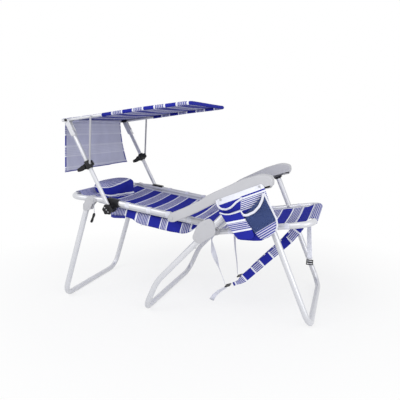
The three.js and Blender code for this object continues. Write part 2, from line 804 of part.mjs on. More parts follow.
const roofCloth = gridSolid(
  [-533, -436, -339, -240, -140, -40, 40],
  [-1, 0, 1],
  (x, v) => [x, v * (strutY + 4.5), roofZ(x) + 8.8],
  (x, v) => [x, v * (strutY + 4.5), roofZ(x) + 6.85],
);
const roofFront = gridSolid(
  [40, 60],
  [-1, 0, 1],
  (x, v) => [x, v * (strutY - 30), roofZ(x) + 8.8],
  (x, v) => [x, v * (strutY - 30), roofZ(x) + 6.85],
);
const roofSleeve = sweep(circle(8.4, 6.8), roofPath(-338, strutY), 12);
add('canopy_cloth', join(roofCloth, roofFront, roofSleeve), look.blue());

// Curtain: a short drop of cloth on the rear bar, one side curling forward

const curtainTop = rearBarAt[1] - 5.7;

function curtainPoint(v, w, face) {
  const lean = v < 0 ? -10 * w * -v : 30 * w * w * v;
  const wave = 5 * Math.sin(v * 7) * w;
  return [rearBarAt[0] + lean + wave + face, v * 262, curtainTop - w * (218 - 5 * v)];
}

const curtain = gridSolid(
  spaced(-1, 1, 6),
  spaced(0, 1, 5),
  (v, w) => curtainPoint(v, w, -1),
  (v, w) => curtainPoint(v, w, 1),
);
const curtainSleeve = sweep(circle(6.5, 5.2), [
  new THREE.Vector3(rearBarAt[0], -258, rearBarAt[1]),
  new THREE.Vector3(rearBarAt[0], 258, rearBarAt[1]),
], 12);
add('canopy_curtain', join(curtain, curtainSleeve), look.stripe());

// Stay rods and the sliding clamps that hold the roof's tilt

const clampAt = 214;
const leverHinge = onStrut(clampAt + 2, -22);

for (const [hand, side] of hands) {
  const rod = tube([
    [rodTop[0], side * (strutY + roofTubeR + gap), rodTop[1]],
    [rodTop[0], side * rodY, rodTop[1]],
    [rodFoot[0], side * rodY, rodFoot[1]],
    [rodFoot[0], side * (strutY + 4.4), rodFoot[1]],
  ], [4.5, 4.5], rodR, 10, 3);
  add(`stay_rod_${hand}`, rod, look.tube());

  const sleeve = strutBar(clampAt - 18, clampAt + 18, side * strutY, 14.3);
  const ear = plate(outline([
    onStrut(clampAt + 10, 10), onStrut(clampAt + 13, 25),
    onStrut(clampAt - 10, 27), onStrut(clampAt - 16, 10),
  ], 5), side * (strutY - 3), side * (strutY + 7.6));
  const rearEar = plate(outline([
    onStrut(clampAt - 16, -10), onStrut(clampAt - 11, -29),
    onStrut(clampAt + 12, -30), onStrut(clampAt + 14, -10),
  ], 5), side * (strutY - 7), side * (strutY - 1));
  const stud = pinAt(leverHinge, 3, side * (strutY - 3), side * (strutY + 8.5));
  const rodBore = pinAt(rodFoot, 5.6, side * (strutY - 0.5), side * (strutY + 12));
  const slide = cut(
    join(sleeve, ear, rearEar, stud),
    strutBar(clampAt - 30, clampAt + 30, side * strutY, strutR + gap),
    rodBore,
  );
  add(`slide_clamp_${hand}`, slide, look.black());

  const lever = cut(
    plate(outline([
      onStrut(clampAt + 8, -16.6), onStrut(clampAt - 4, -16.6),
      onStrut(clampAt - 12, -26), onStrut(clampAt - 12, -42),
      onStrut(clampAt - 7, -62), onStrut(clampAt + 7, -59),
      onStrut(clampAt + 7, -43), onStrut(clampAt + 11, -30),
    ], 6), side * (strutY - 0.5), side * (strutY + 7), { round: 1.2, roundSteps: 1, curve: 3 }),
    pinAt(leverHinge, 3.3, side * (strutY - 5), side * (strutY + 12)),
  );
  add(`clamp_lever_${hand}`, lever, look.black());
}

// Side pouch on the right arm: a backing sheet with one bellows pocket and one mesh pocket

const pouchBack = -(armOuterY + 0.6);
const backingT = 2;
const backing = plate(outline([
  [183, 515], [366, 588], [378, 571], [394, 525], [428, 428], [424, 404], [371, 364],
  [339, 361], [275, 361], [250, 394], [225, 429], [204, 464], [194, 488],
], 8), pouchBack, pouchBack - backingT, { curve: 2 });
const pocketFace = pouchBack - backingT;
const pocketOuter = plate(outline([
  [206, 466], [293, 471], [323, 437], [339, 405],
  [341, 367], [277, 365], [252, 396], [227, 431],
], 9), pocketFace + 1, pocketFace - 20, { round: 4, roundSteps: 1, curve: 2 });
const pocketInner = plate(outline([
  [205, 500], [300, 500], [296, 466], [319, 437], [335, 404],
  [337, 371], [279, 369], [256, 397], [231, 431], [212, 462],
], 6), pocketFace, pocketFace - 17.5, { round: 3, roundSteps: 1, curve: 2 });
const rivetHoles = pouchRivets.map((at) => pinAt(at, 2.3, pouchBack + 3, pocketFace - 3));
add('side_pouch', cut(join(backing, pocketOuter), pocketInner, ...rivetHoles), look.stripe());

const meshFace = pocketFace - gap;
const meshOuter = plate(outline([
  [299, 477], [367, 525], [392, 523], [425, 427], [421, 408],
  [370, 368], [346, 367], [343, 406], [327, 440], [301, 471],
], 8), meshFace, meshFace - 15, { round: 3, roundSteps: 1, curve: 2 });
const meshInner = plate(outline([
  [290, 500], [370, 560], [410, 560], [389, 520], [421, 427], [417, 410],
  [369, 372], [350, 371], [347, 407], [331, 441], [305, 474],
], 6), meshFace - 1.4, meshFace - 13, { round: 2, roundSteps: 1, curve: 2 });
add('mesh_pocket', cut(meshOuter, meshInner), look.white());

for (const [place, at] of [['rear', pouchRivets[0]], ['front', pouchRivets[1]]]) {
  const snap = join(
    pinAt(at, 2, -armOuterY + 5, pocketFace - 0.6),
    pinAt(at, 5, pocketFace - 0.4, pocketFace - 2),
    pinAt(at, 4, -armOuterY + armWall + 0.4, -armOuterY + 5),
  );
  add(`pouch_rivet_${place}`, snap, look.rivet());
}

// Carrying straps that hang under the seat: padded upper ends, thin webbing to the hip

function band(width, thickness) {
  const corner = Math.min(width, thickness) * 0.35;
  const shape = new THREE.Shape();
  const [w, t] = [width / 2, thickness / 2];
  shape.moveTo(-w + corner, -t);
  shape.lineTo(w - corner, -t);
  shape.lineTo(w, -t + corner);
  shape.lineTo(w, t - corner);
  shape.lineTo(w - corner, t);
  shape.lineTo(-w + corner, t);
  shape.lineTo(-w, t - corner);
  shape.lineTo(-w, -t + corner);
  shape.closePath();
  return shape;
}

function hangingBand(points, y, width, thickness, radius) {
  return sweep(band(width, thickness), bend(points.map(([x, z]) => [x, y, z]), radius, 2), 8);
}

function buckle(centre, lean, y, width, height, thickness, facing = Math.PI / 2) {
  const frame = new THREE.Shape();
  frame.moveTo(-width / 2, -height / 2);
  frame.lineTo(width / 2, -height / 2);
  frame.lineTo(width / 2, height / 2);
  frame.lineTo(-width / 2, height / 2);
  frame.closePath();
  for (const offset of [-height / 4 + 0.6, height / 4 - 0.6]) {
    const slot = new THREE.Path();
    slot.moveTo(-width / 2 + 3, offset - 2.2);
    slot.lineTo(-width / 2 + 3, offset + 2.2);
    slot.lineTo(width / 2 - 3, offset + 2.2);
    slot.lineTo(width / 2 - 3, offset - 2.2);
    slot.closePath();
    frame.holes.push(slot);
  }
  const geometry = new THREE.ExtrudeGeometry(frame, { depth: thickness, bevelEnabled: false });
  geometry.translate(0, 0, -thickness / 2);
  geometry.rotateX(Math.PI / 2);
  geometry.rotateZ(facing);
  geometry.rotateY(lean);
  geometry.translate(centre[0], y, centre[1]);
  return geometry;
}

const strapRightY = -130;
const strapLeftY = 70;

const strapRight = hangingBand(
  [[497, 388], [454, 329], [375, 252], [289, 167], [244, 123], [216, 109]],
  strapRightY, 7, 42, 40,
);
add('shoulder_strap_right', strapRight, look.blue());
const strapLeft = hangingBand(
  [[495, 388], [458, 330], [400, 263], [300, 160], [252, 108], [224, 92]],
  strapLeftY, 7, 42, 40,
);
add('shoulder_strap_left', strapLeft, look.blue());

add('strap_buckle_right', buckle([190, 101], -0.35 + Math.PI / 2, strapRightY, 34, 24, 4.5), look.black());
add('strap_buckle_left', buckle([199, 84], -0.35 + Math.PI / 2, strapLeftY, 34, 24, 4.5), look.black());

const webbingRight = hangingBand(
  [[177, 103], [162, 145], [143, 190], [122, 248], [112, 312], [134, 340], [196, 352]],
  strapRightY, 24, 1.8, 24,
);
add('webbing_right', webbingRight, look.white());
const webbingLeft = hangingBand(
  [[188, 92], [184, 151], [176, 210], [171, 275], [184, 340], [200, 354]],
  strapLeftY, 24, 1.8, 30,
);
add('webbing_left', webbingLeft, look.white());

const strapTail = hangingBand([[181, 92], [150, 70], [126, 46], [114, 24]], strapRightY - 2, 22, 1.8, 20);
add('strap_tail', strapTail, look.white());

const frontWebbing = hangingBand([[538, 411], [541, 330], [545, 263]], -165, 1.8, 20, 60);
add('front_webbing', frontWebbing, look.white());
add('front_buckle', buckle([545, 249], 0.05, -165, 28, 22, 4.5, 0), look.black());

// Pull cord with a toggle beside the head leg's bracket

const cordY = -272.6;
const pullCord = tube([[-391.5, cordY, 478], [-391.5, cordY, 448], [-391.2, cordY, 421]], 0, 1.3, 8);
add('pull_cord', pullCord, look.white());
const toggle = tube([
  [-391.5, cordY, 419.8], [-394, cordY, 412], [-405, cordY, 386], [-409, cordY, 380],
], 8, 4, 10, 2);
add('pull_toggle', toggle, look.black());

export default group;
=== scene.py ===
from math import atan2, cos, exp, hypot, pi, radians, sin, sqrt

import bmesh
import bpy
from mathutils import Matrix, Vector


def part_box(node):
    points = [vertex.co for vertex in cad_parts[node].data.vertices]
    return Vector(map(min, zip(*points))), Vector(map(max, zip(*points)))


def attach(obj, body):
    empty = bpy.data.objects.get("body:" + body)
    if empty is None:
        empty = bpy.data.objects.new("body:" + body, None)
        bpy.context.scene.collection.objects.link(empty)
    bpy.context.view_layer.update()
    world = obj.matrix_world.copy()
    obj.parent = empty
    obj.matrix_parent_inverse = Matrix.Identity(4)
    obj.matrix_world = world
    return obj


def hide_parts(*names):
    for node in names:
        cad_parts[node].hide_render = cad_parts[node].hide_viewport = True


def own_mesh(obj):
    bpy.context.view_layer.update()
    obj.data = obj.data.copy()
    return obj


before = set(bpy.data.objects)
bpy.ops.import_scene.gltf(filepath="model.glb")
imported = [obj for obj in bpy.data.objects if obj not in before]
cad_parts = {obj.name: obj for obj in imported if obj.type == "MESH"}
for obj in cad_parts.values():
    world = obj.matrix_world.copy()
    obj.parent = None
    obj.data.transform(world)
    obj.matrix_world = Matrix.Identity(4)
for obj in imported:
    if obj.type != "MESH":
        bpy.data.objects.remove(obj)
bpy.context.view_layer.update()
hands = (("right", -1), ("left", 1))


# the source's millimetres, as metres in the shared frame
def place(x, y, z):
    return Vector(((x + 7.6) / 1000, (y + 10) / 1000, z / 1000))


# camera, floor and light

view = {"at": (0.6808, -2.0637, 0.8048), "down": 0.1573, "turn": 0.3064, "lens": 41.82}
cameraData = bpy.data.cameras.new("photoCamera")
cameraData.lens = view["lens"]
cameraData.sensor_width = 36
cameraData.clip_end = 200
camera = bpy.data.objects.new("photoCamera", cameraData)
camera.location = view["at"]
camera.rotation_euler = (pi / 2 - view["down"], 0, view["turn"])
bpy.context.scene.collection.objects.link(camera)
bpy.context.scene.camera = camera
bpy.context.scene.view_settings.view_transform = "Standard"


def addNode(tree, kind, inputs=None, **settings):
    node = tree.nodes.new(kind)
    for key, value in settings.items():
        setattr(node, key, value)
    for key, value in (inputs or {}).items():
        if isinstance(value, bpy.types.NodeSocket):
            tree.links.new(value, node.inputs[key])
        else:
            node.inputs[key].default_value = value
    return node


def calc(tree, operation, a, b=0.0, c=None):
    inputs = {0: a, 1: b} if c is None else {0: a, 1: b, 2: c}
    return addNode(tree, "ShaderNodeMath", inputs, operation=operation).outputs[0]


stageLook = {"floor": (0.9, 0.9, 0.9, 1), "keep": 0.76, "fadeFrom": 0.75, "fadeOver": 0.8, "size": 60}


def cameraLike(tree):
    path = addNode(tree, "ShaderNodeLightPath")
    glossy = calc(tree, "MAXIMUM", path.outputs["Is Glossy Ray"], path.outputs["Is Transmission Ray"])
    return calc(tree, "MAXIMUM", path.outputs["Is Camera Ray"], glossy)


def makeStage():
    bm = bmesh.new()
    bmesh.ops.create_grid(bm, x_segments=1, y_segments=1, size=stageLook["size"])
    mesh = bpy.data.meshes.new("floor")
    bm.to_mesh(mesh)
    bm.free()
    floor = bpy.data.objects.new("floor", mesh)
    bpy.context.scene.collection.objects.link(floor)
    paint = bpy.data.materials.new("floorPaint")
    paint.use_nodes = True
    tree = paint.node_tree
    tree.nodes.clear()
    matte = addNode(tree, "ShaderNodeBsdfDiffuse", {"Color": stageLook["floor"]})
    white = addNode(tree, "ShaderNodeEmission", {"Strength": 1.0})
    spot = addNode(tree, "ShaderNodeNewGeometry").outputs["Position"]
    away = addNode(tree, "ShaderNodeVectorMath", {0: spot}, operation="LENGTH").outputs["Value"]
    gone = addNode(tree, "ShaderNodeMapRange", {
        0: away, 1: stageLook["fadeFrom"], 2: stageLook["fadeFrom"] + stageLook["fadeOver"], 3: stageLook["keep"], 4: 1.0})
    share = calc(tree, "MULTIPLY", cameraLike(tree), gone.outputs[0])
    both = addNode(tree, "ShaderNodeMixShader", {0: share, 1: matte.outputs[0], 2: white.outputs[0]})
    addNode(tree, "ShaderNodeOutputMaterial", {"Surface": both.outputs[0]})
    mesh.materials.append(paint)

    world = bpy.data.worlds.new("studio")
    bpy.context.scene.world = world
    world.use_nodes = True
    tree = world.node_tree
    tree.nodes.clear()
    seen = addNode(tree, "ShaderNodeBackground", {"Color": (1, 1, 1, 1), "Strength": 1.0})
    fill = addNode(tree, "ShaderNodeBackground", {"Color": (0.97, 0.98, 1, 1), "Strength": 0.66})
    both = addNode(tree, "ShaderNodeMixShader", {0: cameraLike(tree), 1: fill.outputs[0], 2: seen.outputs[0]})
    addNode(tree, "ShaderNodeOutputWorld", {"Surface": both.outputs[0]})

    for name, at, aim, size, power in (
        ("keyLamp", (-1.2, -2.6, 3.0), (0, 0, 0.5), 2.4, 56),
        ("fillLamp", (2.6, -1.9, 1.1), (-0.2, 0, 0.6), 2.2, 34),
    ):
        lampData = bpy.data.lights.new(name, "AREA")
        lampData.size = size
        lampData.energy = power
        lamp = bpy.data.objects.new(name, lampData)
        lamp.location = at
        lamp.rotation_euler = (Vector(aim) - Vector(at)).to_track_quat("-Z", "Y").to_euler()
        bpy.context.scene.collection.objects.link(lamp)


makeStage()
print("stage set")


# materials

def startMaterial(name, roughness=0.5, metallic=0.0, **sockets):
    material = bpy.data.materials.new(name)
    material.use_nodes = True
    tree = material.node_tree
    shader = tree.nodes["Principled BSDF"]
    shader.inputs["Roughness"].default_value = roughness
    shader.inputs["Metallic"].default_value = metallic
    for key, value in sockets.items():
        shader.inputs[key.replace("_", " ")].default_value = value
    return material, tree, shader


def objectAxes(tree):
    source = addNode(tree, "ShaderNodeTexCoord").outputs["Object"]
    split = addNode(tree, "ShaderNodeSeparateXYZ", {0: source})
    return source, {"X": split.outputs[0], "Y": split.outputs[1], "Z": split.outputs[2]}


def attribute(tree, name):
    return addNode(tree, "ShaderNodeAttribute", attribute_name=name).outputs["Fac"]


def noise(tree, source, scale, detail=2.0):
    return addNode(tree, "ShaderNodeTexNoise", {"Vector": source, "Scale": scale, "Detail": detail}).outputs[0]


def mixColour(tree, share, a, b, blend="MIX"):
    node = addNode(tree, "ShaderNodeMix", data_type="RGBA", blend_type=blend)
    for key, value in ((0, share), (6, a), (7, b)):
        if isinstance(value, bpy.types.NodeSocket):
            tree.links.new(value, node.inputs[key])
        else:
            node.inputs[key].default_value = value
    return node.outputs[2]


def spread(tree, value, low, high):
    return calc(tree, "MULTIPLY_ADD", value, high - low, low)


# a ramp of flat colours; each stop is a share from 0 to 1 and a colour
def bands(tree, share, stops):
    ramp = addNode(tree, "ShaderNodeValToRGB", {0: share})
    ramp.color_ramp.interpolation = "CONSTANT"
    elements = ramp.color_ramp.elements
    while len(elements) > 1:
        elements.remove(elements[-1])
    elements[0].position = 0
    elements[0].color = stops[0][1]
    for position, colour in stops[1:]:
        elements.new(position).color = colour
    return ramp.outputs[0]


def bump(tree, shader, height, distance, strength=1.0):
    node = addNode(tree, "ShaderNodeBump", {"Height": height, "Distance": distance, "Strength": strength})
    tree.links.new(node.outputs[0], shader.inputs["Normal"])


colours = {
    "blue": (0.020, 0.026, 0.33, 1),
    "white": (0.84, 0.85, 0.92, 1),
    "line": (0.04, 0.05, 0.33, 1),
    "grey": (0.62, 0.62, 0.74, 1),
}
yes, no = (1, 1, 1, 1), (0, 0, 0, 1)
pinstripe = {"half": 0.0038, "line": 0.0020}


# striped cloth: blue bands, white lines and grey pinstriped bands, woven finely, with an optional share of painted
# light
def stripedCloth(name, measure, start, period, marks, weave=("X", "Y"), fine=None, paintedLight=0.0):
    material, tree, shader = startMaterial(name, 0.9, Specular_IOR_Level=0.12)
    source, axes = objectAxes(tree)
    place1 = measure(tree, axes)
    share = calc(tree, "FRACT", calc(tree, "DIVIDE", calc(tree, "SUBTRACT", place1, start), period))
    flat = bands(tree, share, [(at, colours[colour]) for at, colour in marks])
    mask = bands(tree, share, [(at, yes if colour == "grey" else no) for at, colour in marks])
    pin = calc(tree, "PINGPONG", (fine or measure)(tree, axes), pinstripe["half"])
    line = calc(tree, "LESS_THAN", pin, pinstripe["line"])
    pinned = mixColour(tree, line, colours["grey"], colours["line"])
    cloth = mixColour(tree, mask, flat, pinned)
    # painted light: the given share mixes the cloth towards a pale lilac, standing in for light shining through onto
    # its shaded face
    if paintedLight:
        cloth = mixColour(tree, paintedLight, cloth, (0.66, 0.67, 0.78, 1))
    shade = spread(tree, noise(tree, source, 14.0, 3.0), 0.86, 1.12)
    tone = addNode(tree, "ShaderNodeCombineXYZ", {0: shade, 1: shade, 2: shade}).outputs[0]
    tree.links.new(mixColour(tree, 1.0, cloth, tone, "MULTIPLY"), shader.inputs["Base Color"])
    warp = calc(tree, "PINGPONG", axes[weave[0]], 0.00055)
    weft = calc(tree, "PINGPONG", axes[weave[1]], 0.00055)
    threads = calc(tree, "MAXIMUM", warp, weft)
    folds = calc(tree, "MULTIPLY", noise(tree, source, 26.0, 2.0), 0.002)
    bump(tree, shader, calc(tree, "ADD", threads, folds), 1.0, 0.55)
    return material


def alongX(tree, axes):
    return axes["X"]


def alongZ(tree, axes):
    return axes["Z"]


def alongPiece(tree, axes):
    return attribute(tree, "along")


def acrossPiece(tree, axes):
    return attribute(tree, "across")


def leaning(amount):
    def measure(tree, axes):
        return calc(tree, "MULTIPLY_ADD", axes["Z"], -amount, axes["X"])
    return measure


# blue, white line, grey, white line, as shares of the pattern's repeat
repeat = [(0.0, "blue"), (0.465, "white"), (0.535, "grey"), (0.93, "white")]


def wovenTape(name, colour, rib=0.0009):
    material, tree, shader = startMaterial(name, 0.85, Sheen_Weight=0.1, Specular_IOR_Level=0.3)
    source, axes = objectAxes(tree)
    across = attribute(tree, "across")
    ribs = calc(tree, "PINGPONG", across, rib)
    rows = calc(tree, "PINGPONG", attribute(tree, "along"), 0.0012)
    dark = tuple(c * 0.8 for c in colour[:3]) + (1,)
    share = spread(tree, noise(tree, source, 60.0), -0.1, 0.7)
    tree.links.new(mixColour(tree, share, colour, dark), shader.inputs["Base Color"])
    bump(tree, shader, calc(tree, "ADD", ribs, calc(tree, "MULTIPLY", rows, 0.4)), 1.0, 0.6)
    return material


def moulded(name, colour, roughness, grain=1400.0, speckle=0.1, gloss=0.5):
    material, tree, shader = startMaterial(name, roughness, Specular_IOR_Level=gloss)
    source, axes = objectAxes(tree)
    broad = noise(tree, source, 9.0, 3.0)
    light = tuple(min(c * (1 + speckle), 1) for c in colour[:3]) + (1,)
    dark = tuple(c * (1 - speckle) for c in colour[:3]) + (1,)
    tree.links.new(mixColour(tree, broad, dark, light), shader.inputs["Base Color"])
    tree.links.new(spread(tree, noise(tree, source, 70.0, 4.0), roughness - 0.1, roughness + 0.12),
                   shader.inputs["Roughness"])
    bump(tree, shader, noise(tree, source, grain, 2.0), 0.0004, 0.5)
    return material


def silverPaint():
    material, tree, shader = startMaterial("silverPaint", 0.34, 0.35, Coat_Weight=0.12, Coat_Roughness=0.25)
    source, axes = objectAxes(tree)
    worn = calc(tree, "GREATER_THAN", noise(tree, source, 210.0, 5.0), 0.73)
    cloud = noise(tree, source, 7.0, 2.0)
    base = mixColour(tree, cloud, (0.60, 0.61, 0.64, 1), (0.70, 0.70, 0.73, 1))
    tree.links.new(mixColour(tree, calc(tree, "MULTIPLY", worn, 0.35), base, (0.5, 0.5, 0.52, 1)),
                   shader.inputs["Base Color"])
    tree.links.new(spread(tree, noise(tree, source, 55.0, 3.0), 0.26, 0.44), shader.inputs["Roughness"])
    bump(tree, shader, noise(tree, source, 900.0, 2.0), 0.00025, 0.4)
    return material


def turnedSteel():
    material, tree, shader = startMaterial("turnedSteel", 0.3, 0.95)
    source, axes = objectAxes(tree)
    tree.links.new(mixColour(tree, noise(tree, source, 120.0), (0.42, 0.43, 0.46, 1), (0.66, 0.67, 0.7, 1)),
                   shader.inputs["Base Color"])
    tree.links.new(spread(tree, noise(tree, source, 500.0), 0.22, 0.45), shader.inputs["Roughness"])
    return material


# open net over a dark ground
def netCloth():
    material, tree, shader = startMaterial("netCloth", 0.9, Specular_IOR_Level=0.12)
    source, axes = objectAxes(tree)
    upright = calc(tree, "PINGPONG", calc(tree, "MULTIPLY_ADD", axes["Z"], 0.5, axes["X"]), 0.0021)
    level = calc(tree, "PINGPONG", calc(tree, "MULTIPLY_ADD", axes["X"], -0.5, axes["Z"]), 0.0021)
    thread = calc(tree, "LESS_THAN", calc(tree, "MINIMUM", upright, level), 0.00045)
    net = mixColour(tree, thread, (0.012, 0.028, 0.125, 1), (0.10, 0.14, 0.32, 1))
    tree.links.new(net, shader.inputs["Base Color"])
    tree.links.new(calc(tree, "MAXIMUM", thread, 0.62), shader.inputs["Alpha"])
    bump(tree, shader, thread, 0.0005, 0.6)
    return material


look = {
    "tube": silverPaint(),
    "steel": turnedSteel(),
    "grey": moulded("greyMoulding", (0.49, 0.49, 0.515, 1), 0.45, speckle=0.05),
    "black": moulded("blackMoulding", (0.010, 0.010, 0.012, 1), 0.36, speckle=0.3, gloss=0.3),
    "tape": wovenTape("whiteTape", (0.84, 0.85, 0.93, 1)),
    "cord": wovenTape("whiteCord", (0.52, 0.53, 0.60, 1), 0.0004),
    "rod": moulded("rodEnamel", (0.40, 0.40, 0.43, 1), 0.32, speckle=0.06),
    "net": netCloth(),
    "roofTop": stripedCloth("roofCloth", alongX, -0.3244, 0.0968, repeat),
    # the canopy's shaded underside: the same cloth with a little painted light mixed in
    "roofUnder": stripedCloth("roofUnder", alongX, -0.3244, 0.0968, repeat, paintedLight=0.10),
    "backSling": stripedCloth("backSlingCloth", alongPiece, -0.319, 0.0995, repeat),
    "headEnd": stripedCloth("headEndCloth", alongPiece, 0, 1, [(0, "grey")]),
    "seatSling": stripedCloth("seatSlingCloth", alongPiece, 0.383, 0.1015, repeat),
    "curtainOut": stripedCloth("curtainCloth", alongZ, 0.719, 0.0955, repeat, weave=("Y", "Z")),
    # the curtain's inner face, shaded by the canopy: the same cloth with painted light mixed in at 0.88
    "curtainIn": stripedCloth("curtainInner", alongZ, 0.719, 0.0955, repeat, weave=("Y", "Z"), paintedLight=0.88),
    "strap": stripedCloth("strapCloth", alongPiece, 0.0796, 0.1056, repeat, weave=("X", "Z"), fine=acrossPiece),
}
print("materials mixed")


# building blocks

def addObject(name, mesh, *materials):
    piece = bpy.data.objects.new(name, mesh)
    bpy.context.scene.collection.objects.link(piece)
    for material in materials:
        mesh.materials.append(material)
    return piece


def toPiece(bm, name, *materials, smooth=True, recalc=True):
    if recalc:
        bmesh.ops.recalc_face_normals(bm, faces=bm.faces[:])
    mesh = bpy.data.meshes.new(name)
    bm.to_mesh(mesh)
    bm.free()
    for polygon in mesh.polygons:
        polygon.use_smooth = smooth
    return addObject(name, mesh, *materials)


def applied(piece):
    ready = piece.evaluated_get(bpy.context.evaluated_depsgraph_get())
    mesh = bpy.data.meshes.new_from_object(ready)
    piece.modifiers.clear()
    piece.data = mesh
    return piece


def finish(piece, body, slotName, *replaced):
    if replaced:
        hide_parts(*replaced)
    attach(piece, body)
    return piece


# straight runs between corners, each corner rounded to its radius, in metres
def bendPath(corners, radii, steps=9, spacing=None):
    points = [place(*corner) for corner in corners]
    path = [points[0]]
    for i in range(1, len(points) - 1):
        radius = (radii[i - 1] if isinstance(radii, (list, tuple)) else radii) / 1000
        toLast = (points[i - 1] - points[i]).normalized()
        toNext = (points[i + 1] - points[i]).normalized()
        opening = toLast.angle(toNext)
        if radius <= 0 or pi - opening < 0.01:
            path.append(points[i])
            continue
        reach = radius / sin(opening / 2) * cos(opening / 2)
        centre = points[i] + (toLast + toNext).normalized() * (radius / sin(opening / 2))
        start = points[i] + toLast * reach - centre
        end = points[i] + toNext * reach - centre
        turn = start.angle(end)
        for k in range(steps + 1):
            share = k / steps
            path.append(centre + start * (sin((1 - share) * turn) / sin(turn)) + end * (sin(share * turn) / sin(turn)))
    path.append(points[-1])
    if spacing:
        dense = [path[0]]
        for a, b in zip(path, path[1:]):
            count = max(1, int((b - a).length / spacing))
            dense += [a.lerp(b, (k + 1) / count) for k in range(count)]
        path = dense
    return path


def pathLength(path):
    return sum((b - a).length for a, b in zip(path, path[1:]))


# frames that turn as little as they can along a path
def pathFrames(path, up):
    frames = []
    side = None
    for i, point in enumerate(path):
        before = path[max(i - 1, 0)]
        after = path[min(i + 1, len(path) - 1)]
        ahead = (after - before).normalized()
        if side is None:
            side = up.cross(ahead).normalized()
        else:
            side = (side - ahead * side.dot(ahead)).normalized()
        frames.append((point, side, ahead.cross(side)))
    return frames


# a profile ring extruded from point to point; each ring may turn and swell
def sweep(bm, path, profile, up=Vector((0, 0, 1)), turn=None, swell=None, capped=True, start=0.0):
    along = bm.verts.layers.float.get("along") or bm.verts.layers.float.new("along")
    across = bm.verts.layers.float.get("across") or bm.verts.layers.float.new("across")
    total = max(pathLength(path), 1e-9)
    gone = 0.0
    ring, edges = [], []
    for i, (point, side, rise) in enumerate(pathFrames(path, up)):
        if i:
            gone += (path[i] - path[i - 1]).length
        angle = turn(gone / total) if turn else 0.0
        grow = swell(gone / total) if swell else 1.0
        if isinstance(grow, (int, float)):
            grow = (grow, grow)
        if i == 0:
            ring = [bm.verts.new(point) for _ in profile]
            edges = [bm.edges.new((ring[k], ring[(k + 1) % len(ring)])) for k in range(len(ring))]
            firstEdges = edges
        else:
            made = bmesh.ops.extrude_edge_only(bm, edges=edges)["geom"]
            fresh = {v for v in made if isinstance(v, bmesh.types.BMVert)}
            ring = [next(e.other_vert(v) for e in v.link_edges if e.other_vert(v) in fresh) for v in ring]
            edges = [bm.edges.get((ring[k], ring[(k + 1) % len(ring)])) for k in range(len(ring))]
        for vertex, (a, b) in zip(ring, profile):
            u, v = a * grow[0], b * grow[1]
            x = u * cos(angle) - v * sin(angle)
            y = u * sin(angle) + v * cos(angle)
            vertex.co = point + side * x + rise * y
            vertex[along] = start + gone
            vertex[across] = a
    if capped:
        for closing in (firstEdges, edges):
            bmesh.ops.holes_fill(bm, edges=closing, sides=0)
    return bm


def roundProfile(radius, sides=28):
    return [(radius / 1000 * cos(2 * pi * k / sides), radius / 1000 * sin(2 * pi * k / sides)) for k in range(sides)]


def flatProfile(width, thickness, sides=20, power=0.22):
    points = []
    for k in range(sides):
        c, s = cos(2 * pi * (k + 0.5) / sides), sin(2 * pi * (k + 0.5) / sides)
        points.append((width / 2000 * abs(c) ** power * (1 if c > 0 else -1),
                       thickness / 2000 * abs(s) ** 0.6 * (1 if s > 0 else -1)))
    return points


# round tube with its ends rounded over
def tubePiece(name, path, radius, material, body, slotName, *replaced, sides=28, up=Vector((0, 0, 1))):
    bm = bmesh.new()
    sweep(bm, path, roundProfile(radius, sides), up=up)
    ends = [face for face in bm.faces if len(face.verts) == sides]
    rims = list({edge for face in ends for edge in face.edges})
    bmesh.ops.bevel(bm, geom=rims, offset=0.0012, segments=2, profile=0.5, affect="EDGES", material=-1)
    piece = toPiece(bm, name, material)
    return finish(piece, body, slotName, *replaced)


# a closed profile drawn in X and Z, given a thickness along Y
def slab(bm, outline, yFrom, yTo, edge=0.0, steps=2):
    verts = [bm.verts.new(place(x, yFrom, z)) for x, z in outline]
    face = bmesh.ops.contextual_create(bm, geom=verts)["faces"]
    grown = bmesh.ops.extrude_face_region(bm, geom=face)["geom"]
    moved = [v for v in grown if isinstance(v, bmesh.types.BMVert)]
    bmesh.ops.translate(bm, verts=moved, vec=(0, (yTo - yFrom) / 1000, 0))
    if edge:
        rims = [e for e in bm.edges if abs(e.verts[0].co.y - e.verts[1].co.y) < 1e-7]
        bmesh.ops.bevel(bm, geom=rims, offset=edge / 1000, segments=steps, profile=0.5, affect="EDGES", material=-1)


def roundCorners(corners, radius, steps=4):
    points = []
    count = len(corners)
    for i in range(count):
        here = Vector(corners[i])
        before = Vector(corners[i - 1])
        after = Vector(corners[(i + 1) % count])
        reach = min(radius, (before - here).length * 0.45, (after - here).length * 0.45)
        enter = here + (before - here).normalized() * reach
        leave = here + (after - here).normalized() * reach
        for k in range(steps + 1):
            t = k / steps
            points.append(tuple(enter * (1 - t) ** 2 + here * 2 * t * (1 - t) + leave * t * t))
    return points


# cords and webbing, made first

cordFacts = {"radius": 1.3, "y": -272.6, "top": 478, "foot": 421}


def makePullCord():
    path = [place(-391.5 + 0.3 * (k / 15) ** 2, cordFacts["y"], cordFacts["top"] + (cordFacts["foot"] - cordFacts["top"]) * k / 15)
            for k in range(16)]
    bm = bmesh.new()
    sweep(bm, path, roundProfile(cordFacts["radius"], 10), up=Vector((0, 1, 0)))
    pullCord = finish(toPiece(bm, "pullCordBraid", look["cord"]), "back", "webbing", "pull_cord")
    togglePath = bendPath([(-391.3, cordFacts["y"], 421.6), (-394, cordFacts["y"], 412), (-405, cordFacts["y"], 386),
                           (-409, cordFacts["y"], 380)], 14, 5, 0.0016)
    bm = bmesh.new()

    def waist(t):
        return 0.72 + 0.30 * min(1, t * 8) - 0.22 * exp(-((t - 0.5) / 0.13) ** 2) - 0.25 * max(0, t - 0.93) / 0.07

    sweep(bm, togglePath, roundProfile(5.8, 20), up=Vector((0, 1, 0)), swell=waist)
    toggle = finish(toPiece(bm, "pullToggleGrip", look["black"]), "back", "black_moulding", "pull_toggle")


